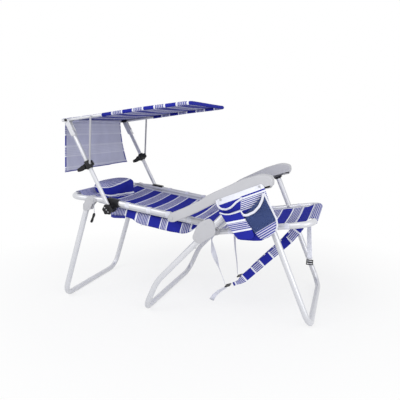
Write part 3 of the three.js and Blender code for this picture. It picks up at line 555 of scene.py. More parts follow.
strapFacts = {
    "right": {"y": -130, "pad": [(500, 392), (454, 329), (375, 252), (289, 167), (244, 123), (214, 108)], "start": 0.0, "fold": 0.16},
    "left": {"y": 70, "pad": [(498, 392), (458, 330), (400, 263), (300, 160), (252, 108), (222, 91)], "start": -0.0254, "fold": 0.30},
}
webbingFacts = {
    "strap_tail": {"y": -132, "width": 22, "route": [(181, 92), (150, 70), (126, 46), (114, 24)], "bend": 20,
                   "turn": lambda t: radians(35 + 30 * t)},
    "webbing_right": {"y": -130, "width": 24, "bend": 24,
                      "route": [(177, 103), (162, 145), (143, 190), (122, 248), (112, 312), (134, 340), (196, 352)],
                      "turn": lambda t: radians(22 + 62 * exp(-((t - 0.46) / 0.14) ** 2)),
                      "ends": ["strapBuckleRight", "strapTailTape"]},
    "webbing_left": {"y": 70, "width": 24, "bend": 30,
                     "route": [(188, 92), (184, 151), (176, 210), (171, 275), (184, 340), (200, 354)],
                     "turn": lambda t: radians(18 + 26 * t), "ends": ["strapBuckleLeft"]},
    "front_webbing": {"y": -165, "width": 20, "bend": 60, "route": [(545, 263), (541, 330), (538, 411)],
                      "turn": lambda t: radians(88 - 34 * t), "ends": ["frontBuckle"]},
}


# buckles are copies of the solids, carried by the seat with their tapes
def makeBuckles():
    for node in ("strap_buckle_right", "strap_buckle_left", "front_buckle"):
        bm = bmesh.new()
        bm.from_mesh(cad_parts[node].data)
        bmesh.ops.remove_doubles(bm, verts=bm.verts[:], dist=0.00002)
        words = node.split("_")
        buckle = toPiece(bm, words[0] + "".join(word.title() for word in words[1:]), look["black"], recalc=False)
        buckle.data.materials.clear()
        buckle.data.materials.append(look["black"])
        soften = buckle.modifiers.new("soften", "BEVEL")
        soften.width = 0.0005
        soften.segments = 2
        soften.angle_limit = radians(40)
        split = buckle.modifiers.new("split", "EDGE_SPLIT")
        split.split_angle = radians(42)
        applied(buckle)
        finish(buckle, "seat", "black_moulding", node)
        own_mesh(buckle)


# each tape but the tail leaves the rail at its top and ends in a buckle
def makeWebbing():
    for node, facts in webbingFacts.items():
        path = bendPath([(x, facts["y"], z) for x, z in facts["route"]], facts["bend"], 6, 0.012)
        bm = bmesh.new()
        sweep(bm, path, flatProfile(facts["width"], 1.7, 16), up=Vector((1, 0, 0.01)), turn=facts["turn"])
        words = node.split("_")
        name = words[0] + words[1].title() + "Tape"
        tape = finish(toPiece(bm, name, look["tape"]), "seat", "webbing", node)
        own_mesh(tape)


def makeStrapPads():
    for hand, facts in strapFacts.items():
        path = bendPath([(x, facts["y"], z) for x, z in facts["pad"]], 40, 8, 0.008)
        bm = bmesh.new()

        # fuller between the stitched rows, and gathered narrow into the buckle
        def plump(t):
            ends = min(1.0, 12 * t + 0.35, 12 * (1 - t) + 0.35)
            narrow = 1.0 - 0.52 * min(max((t - 0.86) / 0.08, 0), 1)
            return (narrow, (0.84 + 0.16 * abs(sin(t * pi * 11))) * ends)

        # flat side out, folded over once where it passes the leg
        def twist(t):
            share = min(max((t - facts["fold"]) / 0.10, 0), 1)
            return pi / 2 + radians(26) * sin(pi * share)

        sweep(bm, path, flatProfile(35, 6.6, 28, 0.35), up=Vector((1, 0, 0.01)), swell=plump, turn=twist, start=facts["start"])
        pad = finish(toPiece(bm, f"shoulderPad{hand.title()}", look["strap"]), "seat", "striped_cloth", f"shoulder_strap_{hand}")
        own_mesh(pad)


makePullCord()
makeBuckles()
makeWebbing()
makeStrapPads()
print("cords, webbing and straps laid")


# frame tubes

def seatRailZ(x):
    return 369.6 + 0.149 * (x - 168)


def backRailZ(x):
    return 407 - 0.1565 * (x - 119) if x >= -350 else 480.4 - 0.055 * (x + 350)


strutFoot, strutHead = Vector((-312, 447)), Vector((-505, 832))
strutWay = (strutHead - strutFoot).normalized()


def onStrut(up, forward=0):
    return (strutFoot.x + strutWay.x * up + strutWay.y * forward, strutFoot.y + strutWay.y * up - strutWay.x * forward)


roofLine = [(-531, 829.4), (-339, 852.5), (-140, 878), (58, 898.5)]


def roofZ(x):
    for (x0, z0), (x1, z1) in zip(roofLine, roofLine[1:]):
        if x <= x1 or x1 == 58:
            return z0 + (z1 - z0) * (x - x0) / (x1 - x0)
    return 0.0


def hoopPath(profile, y, radii):
    corners = [(x, -y, z) for x, z in profile] + [(x, y, z) for x, z in reversed(profile)]
    return bendPath(corners, list(radii) + [60, 60] + list(reversed(radii)), 12)


def roofRun(rear, half):
    run = [(x, roofZ(x)) for x in (rear, -339, -140, 58) if x == rear or x > rear + 2]
    corners = [(x, -half, z) for x, z in run] + [(x, half, z) for x, z in reversed(run)]
    bends = [32 if x == 58 else 0 for x, z in run[1:]]
    return bendPath(corners, bends + list(reversed(bends)), 10)


def makeFrame():
    tube = look["tube"]
    uRail = [(161, seatRailZ(161)), (558, seatRailZ(558))]
    seat = [(x, -247, z) for x, z in uRail] + [(x, 247, z) for x, z in reversed(uRail)]
    tubePiece("seatRails", bendPath(seat, 55, 12), 12.5, tube, "seat", "frame_tube", "seat_frame")
    side = [(156, backRailZ(156)), (-350, backRailZ(-350)), (-527, backRailZ(-527))]
    back = [(x, -252, z) for x, z in side] + [(x, 252, z) for x, z in reversed(side)]
    tubePiece("backRails", bendPath(back, [120, 62, 62, 120], 12), 12.5, tube, "back", "frame_tube", "back_frame")
    tubePiece("middleLegTube", hoopPath([(299, 542), (-83.8, 144.3), (-143.2, 12.5)], 300.4, [210]), 12.5, tube,
              "base", "frame_tube", "mid_leg", up=Vector((0, 1, 0)))
    tubePiece("frontLegTube", hoopPath([(347, 545), (562.7, 12.5)], 275, []), 12.5, tube, "front_leg", "frame_tube",
              "front_leg", up=Vector((0, 1, 0)))
    tubePiece("headLegTube", hoopPath([(-435.3, 458), (-577.8, 12.5)], 252, []), 12.5, tube, "head_leg", "frame_tube",
              "head_leg", up=Vector((0, 1, 0)))
    tubePiece("roofTube", roofRun(-531, 277.5), 6.3, tube, "roof", "frame_tube", "canopy_frame", sides=20)
    barEnd = 277.5 - 6.3 - 0.35
    rearBar = [place(-526, y, roofZ(-526)) for y in (-barEnd, 0, barEnd)]
    tubePiece("roofRearBar", rearBar, 4.8, tube, "roof", "frame_tube", "canopy_rear_bar", sides=18)
    for hand, side in hands:
        low, high = onStrut(-15), onStrut(366)
        strut = [place(low[0], side * 277.5, low[1]), place(high[0], side * 277.5, high[1])]
        tubePiece(f"strutTube{hand.title()}", strut, 9.2, tube, "canopy_support", "frame_tube", f"strut_{hand}",
                  sides=24, up=Vector((0, 1, 0)))
        rod = bendPath([(-382, side * 284.15, 846), (-382, side * 291.6, 846), (-394, side * 291.6, 645.6),
                        (-394, side * 281.9, 645.6)], 4.5, 6)
        tubePiece(f"stayRodWire{hand.title()}", rod, 4.4, look["rod"], f"stay_{hand}", "frame_tube", f"stay_rod_{hand}",
                  sides=16, up=Vector((1, 0, 0)))


makeFrame()
print("tubes bent")


# mouldings and rivets keep their solids and get finish, softened edges and smooth shading

mouldings = {
    "grey": ("leg_bracket_", "seat_joint_", "head_leg_bracket_"),
    "tube": ("strut_fork_",),
    "black": ("leg_latch_", "rail_clamp_", "rail_knob_", "canopy_pivot_", "slide_clamp_", "clamp_lever_",
              ),
    "steel": ("front_leg_rivet_", "head_leg_rivet_", "arm_pivot_", "pouch_rivet_"),
}


def dressMouldings():
    for finishName, starts in mouldings.items():
        for name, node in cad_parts.items():
            if not name.startswith(starts):
                continue
            node.data.materials.clear()
            node.data.materials.append(look[finishName])
            for polygon in node.data.polygons:
                polygon.use_smooth = True
            weld = node.modifiers.new("weld", "WELD")
            weld.merge_threshold = 0.00002
            soften = node.modifiers.new("soften", "BEVEL")
            soften.width = 0.0005
            soften.segments = 2
            soften.angle_limit = radians(40)
            soften.harden_normals = False
            split = node.modifiers.new("split", "EDGE_SPLIT")
            split.split_angle = radians(42)


dressMouldings()
print("mouldings dressed")


# turned screw heads on the knobs and the canopy forks

screwFacts = {
    "radius": 2.6, "proud": 1.1,
    "plates": [("leg_bracket", "base", 3.6, [(137, 418), (98, 313)]),
               ("strut_fork", "canopy_support", 3.0, [(-474, 792), (-463, 767)])],
}


def makeScrew(name, body, x, y, z, radius):
    bm = bmesh.new()
    bmesh.ops.create_cone(bm, cap_ends=True, segments=20, radius1=radius / 1000, radius2=radius / 1000,
                          depth=2 * screwFacts["proud"] / 1000)
    rims = [edge for edge in bm.edges if abs(edge.verts[0].co.z - edge.verts[1].co.z) < 1e-7]
    bmesh.ops.bevel(bm, geom=rims, offset=0.0005, segments=2, profile=0.5, affect="EDGES", material=-1)
    bmesh.ops.rotate(bm, verts=bm.verts[:], matrix=Matrix.Rotation(pi / 2, 3, "X"))
    bmesh.ops.translate(bm, verts=bm.verts[:], vec=place(x, y, z))
    finish(toPiece(bm, name, look["steel"], smooth=False), body, "rivet")


def makeScrews():
    for hand, side in hands:
        low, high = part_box(f"rail_knob_{hand}")
        face = (low[1] if side < 0 else high[1]) * 1000 - 10
        x, z = (low[0] + high[0]) * 500 - 7.6, (low[2] + high[2]) * 500
        for n, (dx, dz) in enumerate(((-8, 9), (0, 0), (8, -9))):
            makeScrew(f"knobScrew{hand.title()}{n}", f"knob_{hand}", x + dx, face, z + dz, screwFacts["radius"])
        for node, body, radius, spots in screwFacts["plates"]:
            low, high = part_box(f"{node}_{hand}")
            face = (low[1] if side < 0 else high[1]) * 1000 - 10
            for n, (x, z) in enumerate(spots):
                makeScrew(f"{node.split('_')[-1]}Rivet{hand.title()}{n}", body, x, face, z, radius)


makeScrews()


# arms: moulded channels open below, blunt at the front, with a notched rib inside

armFacts = {
    "inner": 257, "outer": 316.6, "wall": 2.9, "edge": 5.5, "railEnd": 62, "railRoom": 11.2, "pin": (327, 569), "slope": atan2(66, 191),
    "outline": [(-27, 430), (-17, 448), (30, 468), (112, 508), (150, 534), (279, 597), (330, 614), (358, 621), (386, 619),
                (402, 612), (406, 600), (406, 582), (401, 574), (374, 569), (183, 503), (112, 464), (51, 434), (-2, 412), (-22, 416)],
}


def notchedRib():
    slope, (px, pz) = armFacts["slope"], armFacts["pin"]

    def at(along, up):
        return (px + along * cos(slope) - up * sin(slope), pz + along * sin(slope) + up * cos(slope))

    ribLine = [at(24, 40), at(-60, 38), at(-140, 22), at(-222, 16), at(-226, 4)]
    for notch in range(4, -1, -1):
        along = notch * -48.5
        ribLine += [at(along - 16, -0.4), at(along - 10.7, -0.4)]
        ribLine += [at(along + 5 * cos(2 * pi / 3 - k * pi / 6), 5 * sin(2 * pi / 3 - k * pi / 6)) for k in range(5)]
        ribLine += [at(along + 5.2, -0.4), at(along + 14, 2.5)]
    return ribLine + [at(24, 3)]


def makeArms():
    for hand, side in hands:
        bm = bmesh.new()
        slab(bm, roundCorners(armFacts["outline"], 9, 3), side * armFacts["inner"], side * armFacts["outer"], armFacts["edge"], 4)
        bmesh.ops.recalc_face_normals(bm, faces=bm.faces[:])
        # the rear end is narrower, beside the back rail
        for x in (armFacts["railEnd"], armFacts["railEnd"] + 4):
            bmesh.ops.bisect_plane(bm, geom=bm.verts[:] + bm.edges[:] + bm.faces[:], plane_co=place(x, 0, 0), plane_no=(1, 0, 0))
        for vertex in bm.verts:
            along, out = vertex.co.x * 1000 - 7.6, abs(vertex.co.y * 1000 - 10)
            if along < armFacts["railEnd"] + 1 and out < 268:
                vertex.co.y += side * armFacts["railRoom"] / 1000
        below = [f for f in bm.faces if f.normal.z < -0.3 and max(v.co.y for v in f.verts) - min(v.co.y for v in f.verts) > 0.03
                 and armFacts["railEnd"] < f.calc_center_median().x * 1000 - 7.6 < 392]
        bmesh.ops.delete(bm, geom=below, context="FACES")
        arm = toPiece(bm, f"armShell{hand.title()}", look["grey"], recalc=False)
        wall = arm.modifiers.new("thickness", "SOLIDIFY")
        wall.thickness = armFacts["wall"] / 1000
        wall.offset = -1
        applied(arm)
        split = arm.modifiers.new("split", "EDGE_SPLIT")
        split.split_angle = radians(35)
        finish(arm, f"arm_{hand}", "grey_moulding", f"arm_{hand}")
        bm = bmesh.new()
        slab(bm, notchedRib(), side * 283.5, side * 290)
        finish(toPiece(bm, f"armRib{hand.title()}", look["grey"], smooth=False), f"arm_{hand}", "grey_moulding")


makeArms()
print("arms moulded")


# canopy: one sheet over the roof tube, its sides and front sewn round the tube

roofFacts = {"rear": -533, "front": 62, "half": 277.5, "rise": 7.7, "sag": 7.0, "forkLift": 0.9, "sleeveFrom": -338}


def makeRoof():
    bm = bmesh.new()
    bmesh.ops.create_grid(bm, x_segments=72, y_segments=48, size=0.5)
    along = bm.verts.layers.float.new("along")
    across = bm.verts.layers.float.new("across")
    for vertex in bm.verts:
        u, v = vertex.co.x + 0.5, vertex.co.y * 2
        x = roofFacts["rear"] + u * (roofFacts["front"] - roofFacts["rear"])
        half = roofFacts["half"]
        if x > 26:
            half -= 32 - sqrt(max(32 ** 2 - (x - 26) ** 2, 0))
        overhang = 3.0 if x < roofFacts["sleeveFrom"] else 0.0
        y = v * (half + overhang)
        lip = max(0.0, abs(y) - half) ** 2 * 0.12
        between = (1 - v * v) * sin(pi * min(max((x + 560) / 640, 0), 1))
        ripple = 1.1 * sin(x * 0.043 + 2.1 * v) * (1 - v ** 4)
        overFork = min(max((-440 - x) / 30, 0), 1)
        z = roofZ(x) + roofFacts["rise"] - lip - roofFacts["sag"] * between + ripple * (0.3 + 0.7 * between) * (1 - overFork)
        z += roofFacts["forkLift"] * overFork
        vertex.co = place(x, y, z)
        vertex[along], vertex[across] = x / 1000, y / 1000
    # the underside takes the copy with painted light through the solidify's material offset
    roof = toPiece(bm, "roofCloth", look["roofTop"], look["roofUnder"])
    wall = roof.modifiers.new("thickness", "SOLIDIFY")
    wall.thickness = 0.0011
    wall.offset = -1
    wall.material_offset = 1
    wall.material_offset_rim = 0
    applied(roof)
    bm = bmesh.new()
    sweep(bm, roofRun(roofFacts["sleeveFrom"], roofFacts["half"]), roundProfile(7.7, 24), capped=False)
    sleeve = toPiece(bm, "roofSleeve", look["roofTop"])
    wall = sleeve.modifiers.new("thickness", "SOLIDIFY")
    wall.thickness = 0.0011
    wall.offset = -1
    applied(sleeve)
    finish(sleeve, "roof", "striped_cloth")
    finish(roof, "roof", "striped_cloth", "canopy_cloth")
    # stitched seam just inside the sleeve on each side
    for hand, side in hands:
        seam = [place(x, side * 263, roofZ(x) + roofFacts["rise"] + 0.1) for x in range(-336, 26, 12)]
        bm = bmesh.new()
        sweep(bm, seam, flatProfile(3.0, 0.9, 8))
        finish(toPiece(bm, f"roofSeam{hand.title()}", look["roofTop"]), "roof", "striped_cloth")


# curtain: hangs from the rear bar, near side curling back, far side forward

curtainFacts = {"half": 264, "drop": 218, "top": -5.2}


def curtainAt(v, w):
    lean = 10 * w * v if v < 0 else 30 * w * w * v
    wave = 5 * sin(v * 7) * w + 2.2 * sin(v * 19 + 1) * w * w
    top = roofZ(-526) + curtainFacts["top"]
    return (-526 + lean + wave, v * curtainFacts["half"], top - w * (curtainFacts["drop"] - 5 * v))


def makeCurtain():
    bm = bmesh.new()
    bmesh.ops.create_grid(bm, x_segments=64, y_segments=36, size=0.5)
    along = bm.verts.layers.float.new("along")
    across = bm.verts.layers.float.new("across")
    for vertex in bm.verts:
        v, w = vertex.co.x * 2, vertex.co.y + 0.5
        x, y, z = curtainAt(v, w)
        vertex[along], vertex[across] = z / 1000, y / 1000
        vertex.co = place(x, y, z)
    # the inner face takes the copy with painted light, the outer face the plain cloth
    curtain = toPiece(bm, "curtainCloth", look["curtainIn"], look["curtainOut"], recalc=False)
    for polygon in curtain.data.polygons:
        if polygon.normal.x < 0:
            polygon.flip()
    wall = curtain.modifiers.new("thickness", "SOLIDIFY")
    wall.thickness = 0.001
    wall.offset = 0
    wall.material_offset = 1
    wall.material_offset_rim = 1
    applied(curtain)
    finish(curtain, "curtain", "striped_cloth", "canopy_curtain")
    # hems folded round both sides and the foot, and the sleeve on the bar
    for hand, side in hands:
        path = [place(*curtainAt(side * 0.981, k / 24)) for k in range(25)]
        bm = bmesh.new()
        sweep(bm, path, flatProfile(9, 2.0, 12), up=Vector((1, 0, 0)))
        finish(toPiece(bm, f"curtainHem{hand.title()}", look["curtainOut"]), "curtain", "striped_cloth")
    path = [place(*curtainAt(-1 + k / 24, 1)) for k in range(49)]
    bm = bmesh.new()
    sweep(bm, path, flatProfile(4.5, 2.0, 12), up=Vector((1, 0, 0)))
    foot = toPiece(bm, "curtainFootHem", look["hem"])
    finish(foot, "curtain", "striped_cloth")
    bm = bmesh.new()
    bar = [place(-526, y, roofZ(-526)) for y in range(-258, 259, 12)]
    sweep(bm, bar, roundProfile(6.4, 18), capped=False)
    # the sleeve also takes the copy with painted light
    sleeve = toPiece(bm, "curtainSleeve", look["curtainIn"])
    wall = sleeve.modifiers.new("thickness", "SOLIDIFY")
    wall.thickness = 0.001
    wall.offset = -1
    applied(sleeve)
    finish(sleeve, "curtain", "striped_cloth")


look["hem"] = wovenTape("blueHem", (0.035, 0.042, 0.34, 1))
makeRoof()
makeCurtain()
print("canopy hung")


# slings: one sheet each, wrapped round the end bar, with a white tape along each side

slingRadius = 14.2


def slingHeight(facts, x, v):
    s, run = abs(x - facts["from"]), abs(facts["barX"] - facts["from"])
    onto = min(max((s - run + 60) / 60, 0), 1)
    onto = onto * onto * (3 - 2 * onto)
    sag = facts["sag"](x) * (1 - abs(v) ** 2.2)
    ripple = 0.8 * sin(s * 0.05 + 3 * v) * (1 - v ** 4)
    free = facts["rail"](x) + facts["edge"](x) - sag + ripple
    return free * (1 - onto) + (facts["barZ"] + slingRadius) * onto


def slingSheet(name, body, node, material, facts):
    barX, barZ, sign = facts["barX"], facts["barZ"], facts["sign"]
    wrap = radians(facts["wrap"])
    run = abs(barX - facts["from"])
    total = run + slingRadius * wrap
    bm = bmesh.new()
    bmesh.ops.create_grid(bm, x_segments=facts["rows"], y_segments=36, size=0.5)
    along = bm.verts.layers.float.new("along")
    across = bm.verts.layers.float.new("across")
    for vertex in bm.verts:
        s = (vertex.co.x + 0.5) * total
        v = vertex.co.y * 2
        if s <= run:
            x = facts["from"] + sign * s
            half = facts["half"](x)
            z = slingHeight(facts, x, v)
        else:
            angle = (s - run) / slingRadius
            x = barX + sign * slingRadius * sin(angle)
            z = barZ + slingRadius * cos(angle)
            half = facts["half"](barX)
        vertex.co = place(x, v * half, z)
        vertex[along] = (facts["from"] + sign * s) / 1000
        vertex[across] = v * half / 1000
    for face in bm.faces:
        past = sum(vertex[along] for vertex in face.verts) / len(face.verts) * 1000
        face.material_index = 1 if "endCloth" in facts and past < facts["endFrom"] else 0
    sling = toPiece(bm, name, material, facts.get("endCloth", material))
    wall = sling.modifiers.new("thickness", "SOLIDIFY")
    wall.thickness = 0.0016
    wall.offset = -1
    applied(sling)
    finish(sling, body, "striped_cloth", node)
    for hand, side in hands:
        edge = []
        for k in range(60):
            x = facts["from"] + sign * (run - 30) * k / 59
            edge.append(place(x, side * (facts["half"](x) + facts["tapeOut"]), facts["rail"](x) + facts["edge"](x) + facts["tapeUp"](x)))
        bm = bmesh.new()
        sweep(bm, edge, flatProfile(15, 3.2, 14), turn=lambda t: -side * facts["sign"] * facts["tapeTurn"](t))
        finish(toPiece(bm, f"{name}Tape{hand.title()}", look["tape"]), body, "webbing")
        for n, x in enumerate(facts["clips"]):
            around = [place(x, side * facts["railY"], facts["rail"](x)) + Vector((0, side * 0.0131 * cos(a), 0.0131 * sin(a)))
                      for a in [radians(d) for d in range(-150, 171, 16)]]
            bm = bmesh.new()
            sweep(bm, around, flatProfile(facts["clipWidth"], 0.9, 12), up=Vector((0, -side * sin(radians(-150)), cos(radians(-150)))))
            finish(toPiece(bm, f"{name}Clip{hand.title()}{n}", look["tape"]), body, "webbing")
    2 * facts["half"](facts["from"]) / 1000
    facts["area"] * 2 * facts["half"](facts["from"]) * total / 1e6


def backHalf(x):
    return 186 + min(max((x + 513) / 58, 0), 1) * 50


# the back sling hangs from the underside of its rails, and rises to the bar at the head
def backEdge(x):
    t = min(max((x + 420) / 70, 0), 1)
    return -2.5 - 13.5 * t * t * (3 - 2 * t)


def seatHalf(x):
    return 220 - min(max((x - 500) / 45, 0), 1) * 34


backFacts = {
    "from": 126, "barX": -527, "barZ": backRailZ(-527), "sign": -1, "wrap": 205, "rows": 130, "rail": backRailZ, "edge": backEdge,
    "tapeOut": 0.6, "tapeUp": lambda x: 1.0 if x > -380 else -1.0, "tapeTurn": lambda t: radians(78) * (1 if t < 0.8 else max(0, 1 - (t - 0.8) * 10)),
    "half": backHalf, "sag": lambda x: 11 * min(1, (x + 540) / 160, (180 - x) / 150), "railY": 252, "clipWidth": 20,
    "clips": (-235, -134, -44, 52), "rests": ["back_frame"], "area": 0.98, "endCloth": look["headEnd"], "endFrom": -472,
}
slingSheet("backSlingCloth", "back", "back_sling", look["backSling"], backFacts)
slingSheet("seatSlingCloth", "seat", "seat_sling", look["seatSling"], {
    "from": 150, "barX": 558, "barZ": seatRailZ(558), "sign": 1, "wrap": 205, "rows": 90, "rail": seatRailZ, "edge": lambda x: -2.5,
    "tapeOut": 3.0, "tapeUp": lambda x: -1.0, "tapeTurn": lambda t: 0.0,
    "half": seatHalf, "sag": lambda x: 13 * min(1, (575 - x) / 160), "railY": 247, "clipWidth": 20,
    "clips": (228, 330, 458), "rests": ["seat_frame"], "area": 0.97})
print("slings stretched")


# head pillow: a crowned pad, swollen by cloth pressure, on a flat flange

pillowFacts = {"centre": (-429, -4, 476), "turn": radians(-8), "half": (54, 121), "height": 70, "cap": 0.007,
               "crownFrom": 43, "crownRise": 0.115, "flange": 15, "tuck": 0.5}


# the crown is grey inside a white seam, the sides blue, the flange grey below a second seam
def pillowMaterial():
    material, tree, shader = startMaterial("pillowCloth", 0.9, Specular_IOR_Level=0.12)
    source, axes = objectAxes(tree)
    crown = attribute(tree, "crown")
    height = attribute(tree, "height")
    girth = attribute(tree, "girth")
    pin = calc(tree, "LESS_THAN", calc(tree, "PINGPONG", girth, pinstripe["half"]), pinstripe["line"])
    pinned = mixColour(tree, pin, colours["grey"], colours["line"])
    inCrown = calc(tree, "GREATER_THAN", crown, 0.0)
    inSeam = calc(tree, "GREATER_THAN", crown, -0.0048)
    cloth = mixColour(tree, inCrown, mixColour(tree, inSeam, colours["blue"], colours["white"]), pinned)
    low = mixColour(tree, calc(tree, "LESS_THAN", height, 0.0045), colours["white"], pinned)
    cloth = mixColour(tree, calc(tree, "LESS_THAN", height, 0.009), cloth, low)
    shade = spread(tree, noise(tree, source, 20.0, 3.0), 0.85, 1.12)
    tone = addNode(tree, "ShaderNodeCombineXYZ", {0: shade, 1: shade, 2: shade}).outputs[0]
    tree.links.new(mixColour(tree, 1.0, cloth, tone, "MULTIPLY"), shader.inputs["Base Color"])
    threads = calc(tree, "MAXIMUM", calc(tree, "PINGPONG", girth, 0.00055), calc(tree, "PINGPONG", axes["Y"], 0.00055))
    folds = calc(tree, "MULTIPLY", noise(tree, source, 45.0, 2.0), 0.003)
    bump(tree, shader, calc(tree, "ADD", threads, folds), 1.0, 0.6)
    return material


def makePillow():
    halfX, halfY = (h / 1000 for h in pillowFacts["half"])
    high = pillowFacts["height"] / 1000
    bm = bmesh.new()
    bmesh.ops.create_cube(bm, size=2.0)
    bmesh.ops.subdivide_edges(bm, edges=bm.edges[:], cuts=11, use_grid_fill=True)
    for vertex in bm.verts:
        x, y, z = vertex.co
        pull = 1 - 0.10 * (1 - abs(z)) * abs(x * y)
        across = halfX * x * sqrt(max(1 - 0.34 * z * z, 0)) * (1 - 0.10 * y ** 6)
        length = halfY * y * (1 - 0.06 * z * z) * (1 - 0.05 * x ** 4)
        crown = (1 - 0.30 * x ** 4) * (1 - 0.34 * abs(y) ** 5)
        up = high * (0.5 + 0.5 * z * (crown if z > 0 else 1))
        vertex.co = Vector((across * pull, length * pull, up))
    bmesh.ops.smooth_vert(bm, verts=bm.verts[:], factor=0.5, use_axis_x=True, use_axis_y=True, use_axis_z=True)
    pillow = toPiece(bm, "headPillow", look["pillow"])
    remesh = pillow.modifiers.new("remesh", "REMESH")
    remesh.mode = "VOXEL"
    remesh.voxel_size = 0.005
    applied(pillow)
    rest = [v.co.copy() for v in pillow.data.vertices]
    cloth = pillow.modifiers.new("cloth", "CLOTH")
    cloth.settings.use_pressure = True
    cloth.settings.uniform_pressure_force = 4
    cloth.settings.effector_weights.gravity = 0
    cloth.settings.quality = 5
    cloth.point_cache.frame_start = 1
    cloth.point_cache.frame_end = 20
    for step in range(1, 21):
        bpy.context.scene.frame_set(step)
    applied(pillow)
    bpy.context.scene.frame_set(1)
    for vertex, before in zip(pillow.data.vertices, rest):
        move = vertex.co - before
        if move.length > pillowFacts["cap"]:
            move = move.normalized() * pillowFacts["cap"]
        vertex.co = before + move
        vertex.co.z = max(vertex.co.z, 0.0)
    smooth = pillow.modifiers.new("rounding", "SUBSURF")
    smooth.levels = smooth.render_levels = 1
    applied(pillow)
    mesh = pillow.data
    crown = mesh.attributes.new("crown", "FLOAT", "POINT")
    height = mesh.attributes.new("height", "FLOAT", "POINT")
    girth = mesh.attributes.new("girth", "FLOAT", "POINT")
    for vertex in mesh.vertices:
        x, y, z = vertex.co
        crown.data[vertex.index].value = z - pillowFacts["crownFrom"] / 1000 - pillowFacts["crownRise"] * (y + 0.121)
        height.data[vertex.index].value = z
        girth.data[vertex.index].value = atan2(z - 0.02, x) * 0.055
        # the head side is tucked under
        if x < 0:
            vertex.co.x *= 1 - pillowFacts["tuck"] * max(0, 1 - z / 0.034)
        # the sewn flange spreads over the sling
        if z < 0.008:
            out = pillowFacts["flange"] / 1000 * (1 - z / 0.008)
            vertex.co.x += out * (1 if x > 0 else -0.3)
            vertex.co.y += 0.4 * out * y / 0.124
    for polygon in mesh.polygons:
        polygon.use_smooth = True
    at = Matrix.Translation(place(*pillowFacts["centre"])) @ Matrix.Rotation(pillowFacts["turn"], 4, "Z")
    mesh.transform(at)
    # the base lies on the sling
    for vertex in mesh.vertices:
        x, y = vertex.co.x * 1000 - 7.6, vertex.co.y * 1000 - 10
        above = vertex.co.z - pillowFacts["centre"][2] / 1000
        share = min(max(1 - above / 0.03, 0), 1)
        under = slingHeight(backFacts, x, min(max(y / backHalf(x), -1), 1)) + 0.4 - pillowFacts["centre"][2]
        vertex.co.z += under / 1000 * share
    finish(pillow, "back", "striped_cloth", "pillow")


look["pillow"] = pillowMaterial()
makePillow()
print("pillow filled")


# storage bag: a sagging shell under the back, open at its head end

bagFacts = {
    "stations": [(-336, 404), (-330, 402), (-300, 402), (-275, 401), (-250, 396), (-228, 389), (-206, 372), (-180, 366), (-149, 361),
                 (-120, 355), (-92, 350), (-50, 345), (-20, 341), (1, 338), (18, 342), (34, 351), (52, 368), (66, 387)],
    "half": 228, "under": 20.5,
}


def bagMaterial():
    marks = [(-340, "grey"), (-262, "white"), (-253, "blue"), (-206, "white"), (-199, "grey"), (-142, "white"), (-137, "blue"),
             (-82, "white"), (-77, "grey"), (-51, "white"), (-46, "blue"), (18, "white"), (24, "grey"), (60, "white"), (66, "blue")]
    stops = [((x + 340) / 440, colour) for x, colour in marks]
    return stripedCloth("bagCloth", leaning(0.29), (-340 + 7.6 - 0.29 * 430) / 1000, 0.440, stops, weave=("X", "Z"))


def makeBag():
    bm = bmesh.new()
    along = bm.verts.layers.float.new("along")
    across = bm.verts.layers.float.new("across")
    sides = 44
    ring = [bm.verts.new((0, 0, 0)) for _ in range(sides)]
    edges = [bm.edges.new((ring[k], ring[(k + 1) % sides])) for k in range(sides)]
    for i, (x, floor) in enumerate(bagFacts["stations"]):
        if i:
            made = bmesh.ops.extrude_edge_only(bm, edges=edges)["geom"]
            fresh = {v for v in made if isinstance(v, bmesh.types.BMVert)}
            ring = [next(e.other_vert(v) for e in v.link_edges if e.other_vert(v) in fresh) for v in ring]
            edges = [bm.edges.get((ring[k], ring[(k + 1) % sides])) for k in range(sides)]
        top = backRailZ(x) - bagFacts["under"]
        for k, vertex in enumerate(ring):
            c, s = cos(2 * pi * (k + 0.5) / sides), sin(2 * pi * (k + 0.5) / sides)
            y = bagFacts["half"] * abs(c) ** 0.22 * (1 if c > 0 else -1)
            z = (top + floor) / 2 + (top - floor) / 2 * abs(s) ** 0.36 * (1 if s > 0 else -1)
            if s < 0:
                z += 2.0 * sin(x * 0.06 + y * 0.02) * (1 - abs(c) ** 3)
            elif abs(y) < 0.97 * bagFacts["half"]:
                z -= min(16, (top - floor) * 0.3)
            vertex.co = place(x, y, z)
            vertex[along], vertex[across] = x / 1000, y / 1000
    bmesh.ops.holes_fill(bm, edges=edges, sides=0)
    last = max(bm.faces, key=lambda f: len(f.verts))
    bmesh.ops.inset_region(bm, faces=[last], thickness=0.006, depth=0.004)
    bag = toPiece(bm, "storageBagCloth", look["bag"], look["roofUnder"], recalc=False)
    wall = bag.modifiers.new("thickness", "SOLIDIFY")
    wall.thickness = 0.0018
    wall.offset = 0
    applied(bag)
    finish(bag, "back", "striped_cloth", "storage_bag")
    # blue hem round the foot of the mouth
    lip = [(-262, -229, 404), (-318, -229, 402.5), (-338, -222, 405), (-338, 222, 405), (-318, 229, 402.5), (-262, 229, 404)]
    bm = bmesh.new()
    sweep(bm, bendPath(lip, 16, 6, 0.012), flatProfile(12, 3.4, 12), turn=lambda t: radians(90))
    finish(toPiece(bm, "bagMouthHem", look["hem"]), "back", "webbing")
    # a seam down each side of the bag
    for hand, side in hands:
        path = [place(x, side * 228.6, z) for x, z in ((-172, 421), (-174, 412), (-177, 400), (-180, 388), (-182, 376), (-184, 369))]
        bm = bmesh.new()
        sweep(bm, path, flatProfile(4.5, 1.4, 10), up=Vector((1, 0, 0)))
        finish(toPiece(bm, f"bagSeam{hand.title()}", look["tape"]), "back", "webbing")


look["bag"] = bagMaterial()
makeBag()
print("bag lofted")


# side pouch: a backing sheet on the arm with a bellows pocket and a net pocket

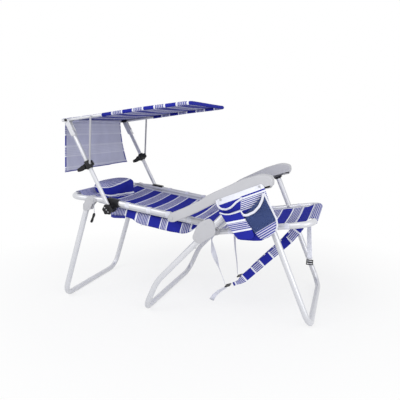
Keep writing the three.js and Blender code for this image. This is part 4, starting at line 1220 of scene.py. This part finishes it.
pouchFacts = {
    "backY": -317.4, "faceY": -319.4, "footFrom": 159.6, "footSlope": 0.68,
    "backing": [(183, 515), (366, 588), (378, 571), (394, 525), (428, 428), (424, 404), (371, 364), (339, 361), (275, 361),
                (250, 394), (225, 429), (204, 464), (194, 488)],
    # each pocket's outline starts with the points of its open mouth
    "pocket": {"outline": [(206, 468), (245, 466), (288, 480), (297, 462), (312, 440), (333, 412), (343, 388), (338, 374), (322, 368),
                           (280, 366), (256, 392), (230, 430)], "mouth": 3, "deep": 18.5},
    "net": {"outline": [(299, 467), (317, 466), (341, 479), (360, 501), (370, 525), (376, 552), (394, 517), (410, 487), (425, 457),
                        (430, 430), (426, 406), (397, 380), (371, 370), (355, 383), (334, 407), (312, 440)],
            "mouth": 6, "deep": 13.5},
}


def pouchCloth(name, start, period, marks, slope, coarse=1.0):
    def measure(tree, axes):
        return calc(tree, "MULTIPLY_ADD", axes["X"], -slope, axes["Z"])

    def fine(tree, axes):
        return calc(tree, "MULTIPLY", measure(tree, axes), 1 / coarse)

    stops = [((z - marks[0][0]) / period, colour) for z, colour in marks]
    return stripedCloth(name, measure, start / 1000, period / 1000, stops, weave=("X", "Z"), fine=fine)


def makePouch():
    body = "arm_right"
    backY, faceY = pouchFacts["backY"], pouchFacts["faceY"]
    bm = bmesh.new()
    slab(bm, roundCorners(pouchFacts["backing"], 8), backY, faceY, 0.5, 1)
    backing = toPiece(bm, "pouchBacking", look["pouchBacking"])
    finish(backing, body, "striped_cloth", "side_pouch")
    # bellows pocket and net pocket: front and sides in one skin, open at the mouth
    for name, key in (("pouchPocket", "pocket"), ("pouchNet", "net")):
        facts = pouchFacts[key]
        bm = bmesh.new()
        front = [bm.verts.new(place(x, faceY - facts["deep"], z)) for x, z in roundCorners(facts["outline"], 8, 4)]
        mouth = set(front[2:5 * (facts["mouth"] - 1) + 3])
        face = bmesh.ops.contextual_create(bm, geom=front)["faces"][0]
        rims = [edge for edge in face.edges if not mouth.issuperset(edge.verts)]
        made = bmesh.ops.extrude_edge_only(bm, edges=rims)["geom"]
        moved = [v for v in made if isinstance(v, bmesh.types.BMVert)]
        bmesh.ops.translate(bm, verts=moved, vec=(0, (facts["deep"] - 0.6) / 1000, 0))
        bmesh.ops.bevel(bm, geom=[e for e in rims if e.is_valid], offset=0.005, segments=3, profile=0.5, affect="EDGES", material=-1)
        # the net is sewn to a cloth foot
        if key == "net":
            border, across = place(0, 0, pouchFacts["footFrom"]), Vector((-pouchFacts["footSlope"], 0, 1))
            bmesh.ops.bisect_plane(bm, geom=bm.verts[:] + bm.edges[:] + bm.faces[:], plane_co=border, plane_no=across)
            for part in bm.faces:
                part.material_index = 1 if (part.calc_center_median() - border).dot(across) < 0 else 0
        pocket = toPiece(bm, name, look["net" if key == "net" else "pouchPocket"], look["netFoot" if key == "net" else "pouchPocket"])
        wall = pocket.modifiers.new("thickness", "SOLIDIFY")
        wall.thickness = 0.0014
        wall.offset = -1
        applied(pocket)
        if key == "net":
            finish(pocket, body, "mesh_cloth", "mesh_pocket")
        else:
            finish(pocket, body, "striped_cloth")
    # white bindings
    bindings = {
        "bindLeft": ([(186, 515), (193, 492), (206, 481), (227, 480), (247, 490), (267, 511), (292, 530)], 8, faceY - 1.4),
        "bindNetRim": ([(287, 481), (293, 468), (303, 463), (317, 466), (341, 479), (360, 501), (371, 526), (376, 552)], 10, faceY - 15),
        "bindNetSide": ([(377, 556), (395, 519), (411, 489), (427, 458), (432, 430), (427, 408)], 7, faceY - 13.8),
        "bindMouth": ([(204, 469), (225, 464), (245, 465), (268, 472), (287, 480)], 5, faceY - 19.2),
    }
    for name, (corners, width, y) in bindings.items():
        path = bendPath([(x, y, z) for x, z in corners], 20, 4, 0.006)
        bm = bmesh.new()
        sweep(bm, path, flatProfile(width, 2.4, 14), up=Vector((0, 1, 0)))
        finish(toPiece(bm, name, look["tape"]), body, "webbing")


def backingMaterial():
    material, tree, shader = startMaterial("pouchBackingCloth", 0.9, Specular_IOR_Level=0.12)
    source, axes = objectAxes(tree)
    # distance below the arm's slope: white band, blue line, white, then pinstripe
    below = calc(tree, "MULTIPLY_ADD", axes["X"], -0.40, axes["Z"])
    top = (588 - 0.40 * (366 + 7.6)) / 1000
    share = calc(tree, "DIVIDE", calc(tree, "SUBTRACT", top, below), 0.2)
    right = [(0.0, "white"), (0.105, "blue"), (0.135, "white"), (0.175, "grey"), (0.40, "blue")]
    left = [(0.0, "white"), (0.125, "blue"), (0.36, "white"), (0.40, "grey")]
    onLeft = calc(tree, "LESS_THAN", axes["X"], 0.292)
    flat = mixColour(tree, onLeft, bands(tree, share, [(at, colours[colour]) for at, colour in right]),
                     bands(tree, share, [(at, colours[colour]) for at, colour in left]))
    mask = mixColour(tree, onLeft, bands(tree, share, [(at, yes if colour == "grey" else no) for at, colour in right]),
                     bands(tree, share, [(at, yes if colour == "grey" else no) for at, colour in left]))
    pin = calc(tree, "PINGPONG", below, pinstripe["half"])
    pinned = mixColour(tree, calc(tree, "LESS_THAN", pin, pinstripe["line"]), colours["white"], colours["line"])
    cloth = mixColour(tree, mask, flat, pinned)
    shade = spread(tree, noise(tree, source, 30.0, 3.0), 0.88, 1.1)
    tone = addNode(tree, "ShaderNodeCombineXYZ", {0: shade, 1: shade, 2: shade}).outputs[0]
    tree.links.new(mixColour(tree, 1.0, cloth, tone, "MULTIPLY"), shader.inputs["Base Color"])
    threads = calc(tree, "MAXIMUM", calc(tree, "PINGPONG", axes["X"], 0.00055), calc(tree, "PINGPONG", axes["Z"], 0.00055))
    folds = calc(tree, "MULTIPLY", noise(tree, source, 60.0, 2.0), 0.002)
    bump(tree, shader, calc(tree, "ADD", threads, folds), 1.0, 0.6)
    return material


look["pouchBacking"] = backingMaterial()
look["netFoot"] = pouchCloth("netFootCloth", 100, 400, [(100, "grey")], pouchFacts["footSlope"], 1.4)
look["pouchPocket"] = pouchCloth("pouchPocketCloth", 280 - 0.25 * 7.6, 160,
                                 [(280, "blue"), (326, "white"), (333, "grey"), (366, "white"), (374, "blue")], 0.25)
makePouch()
print("pouch sewn")
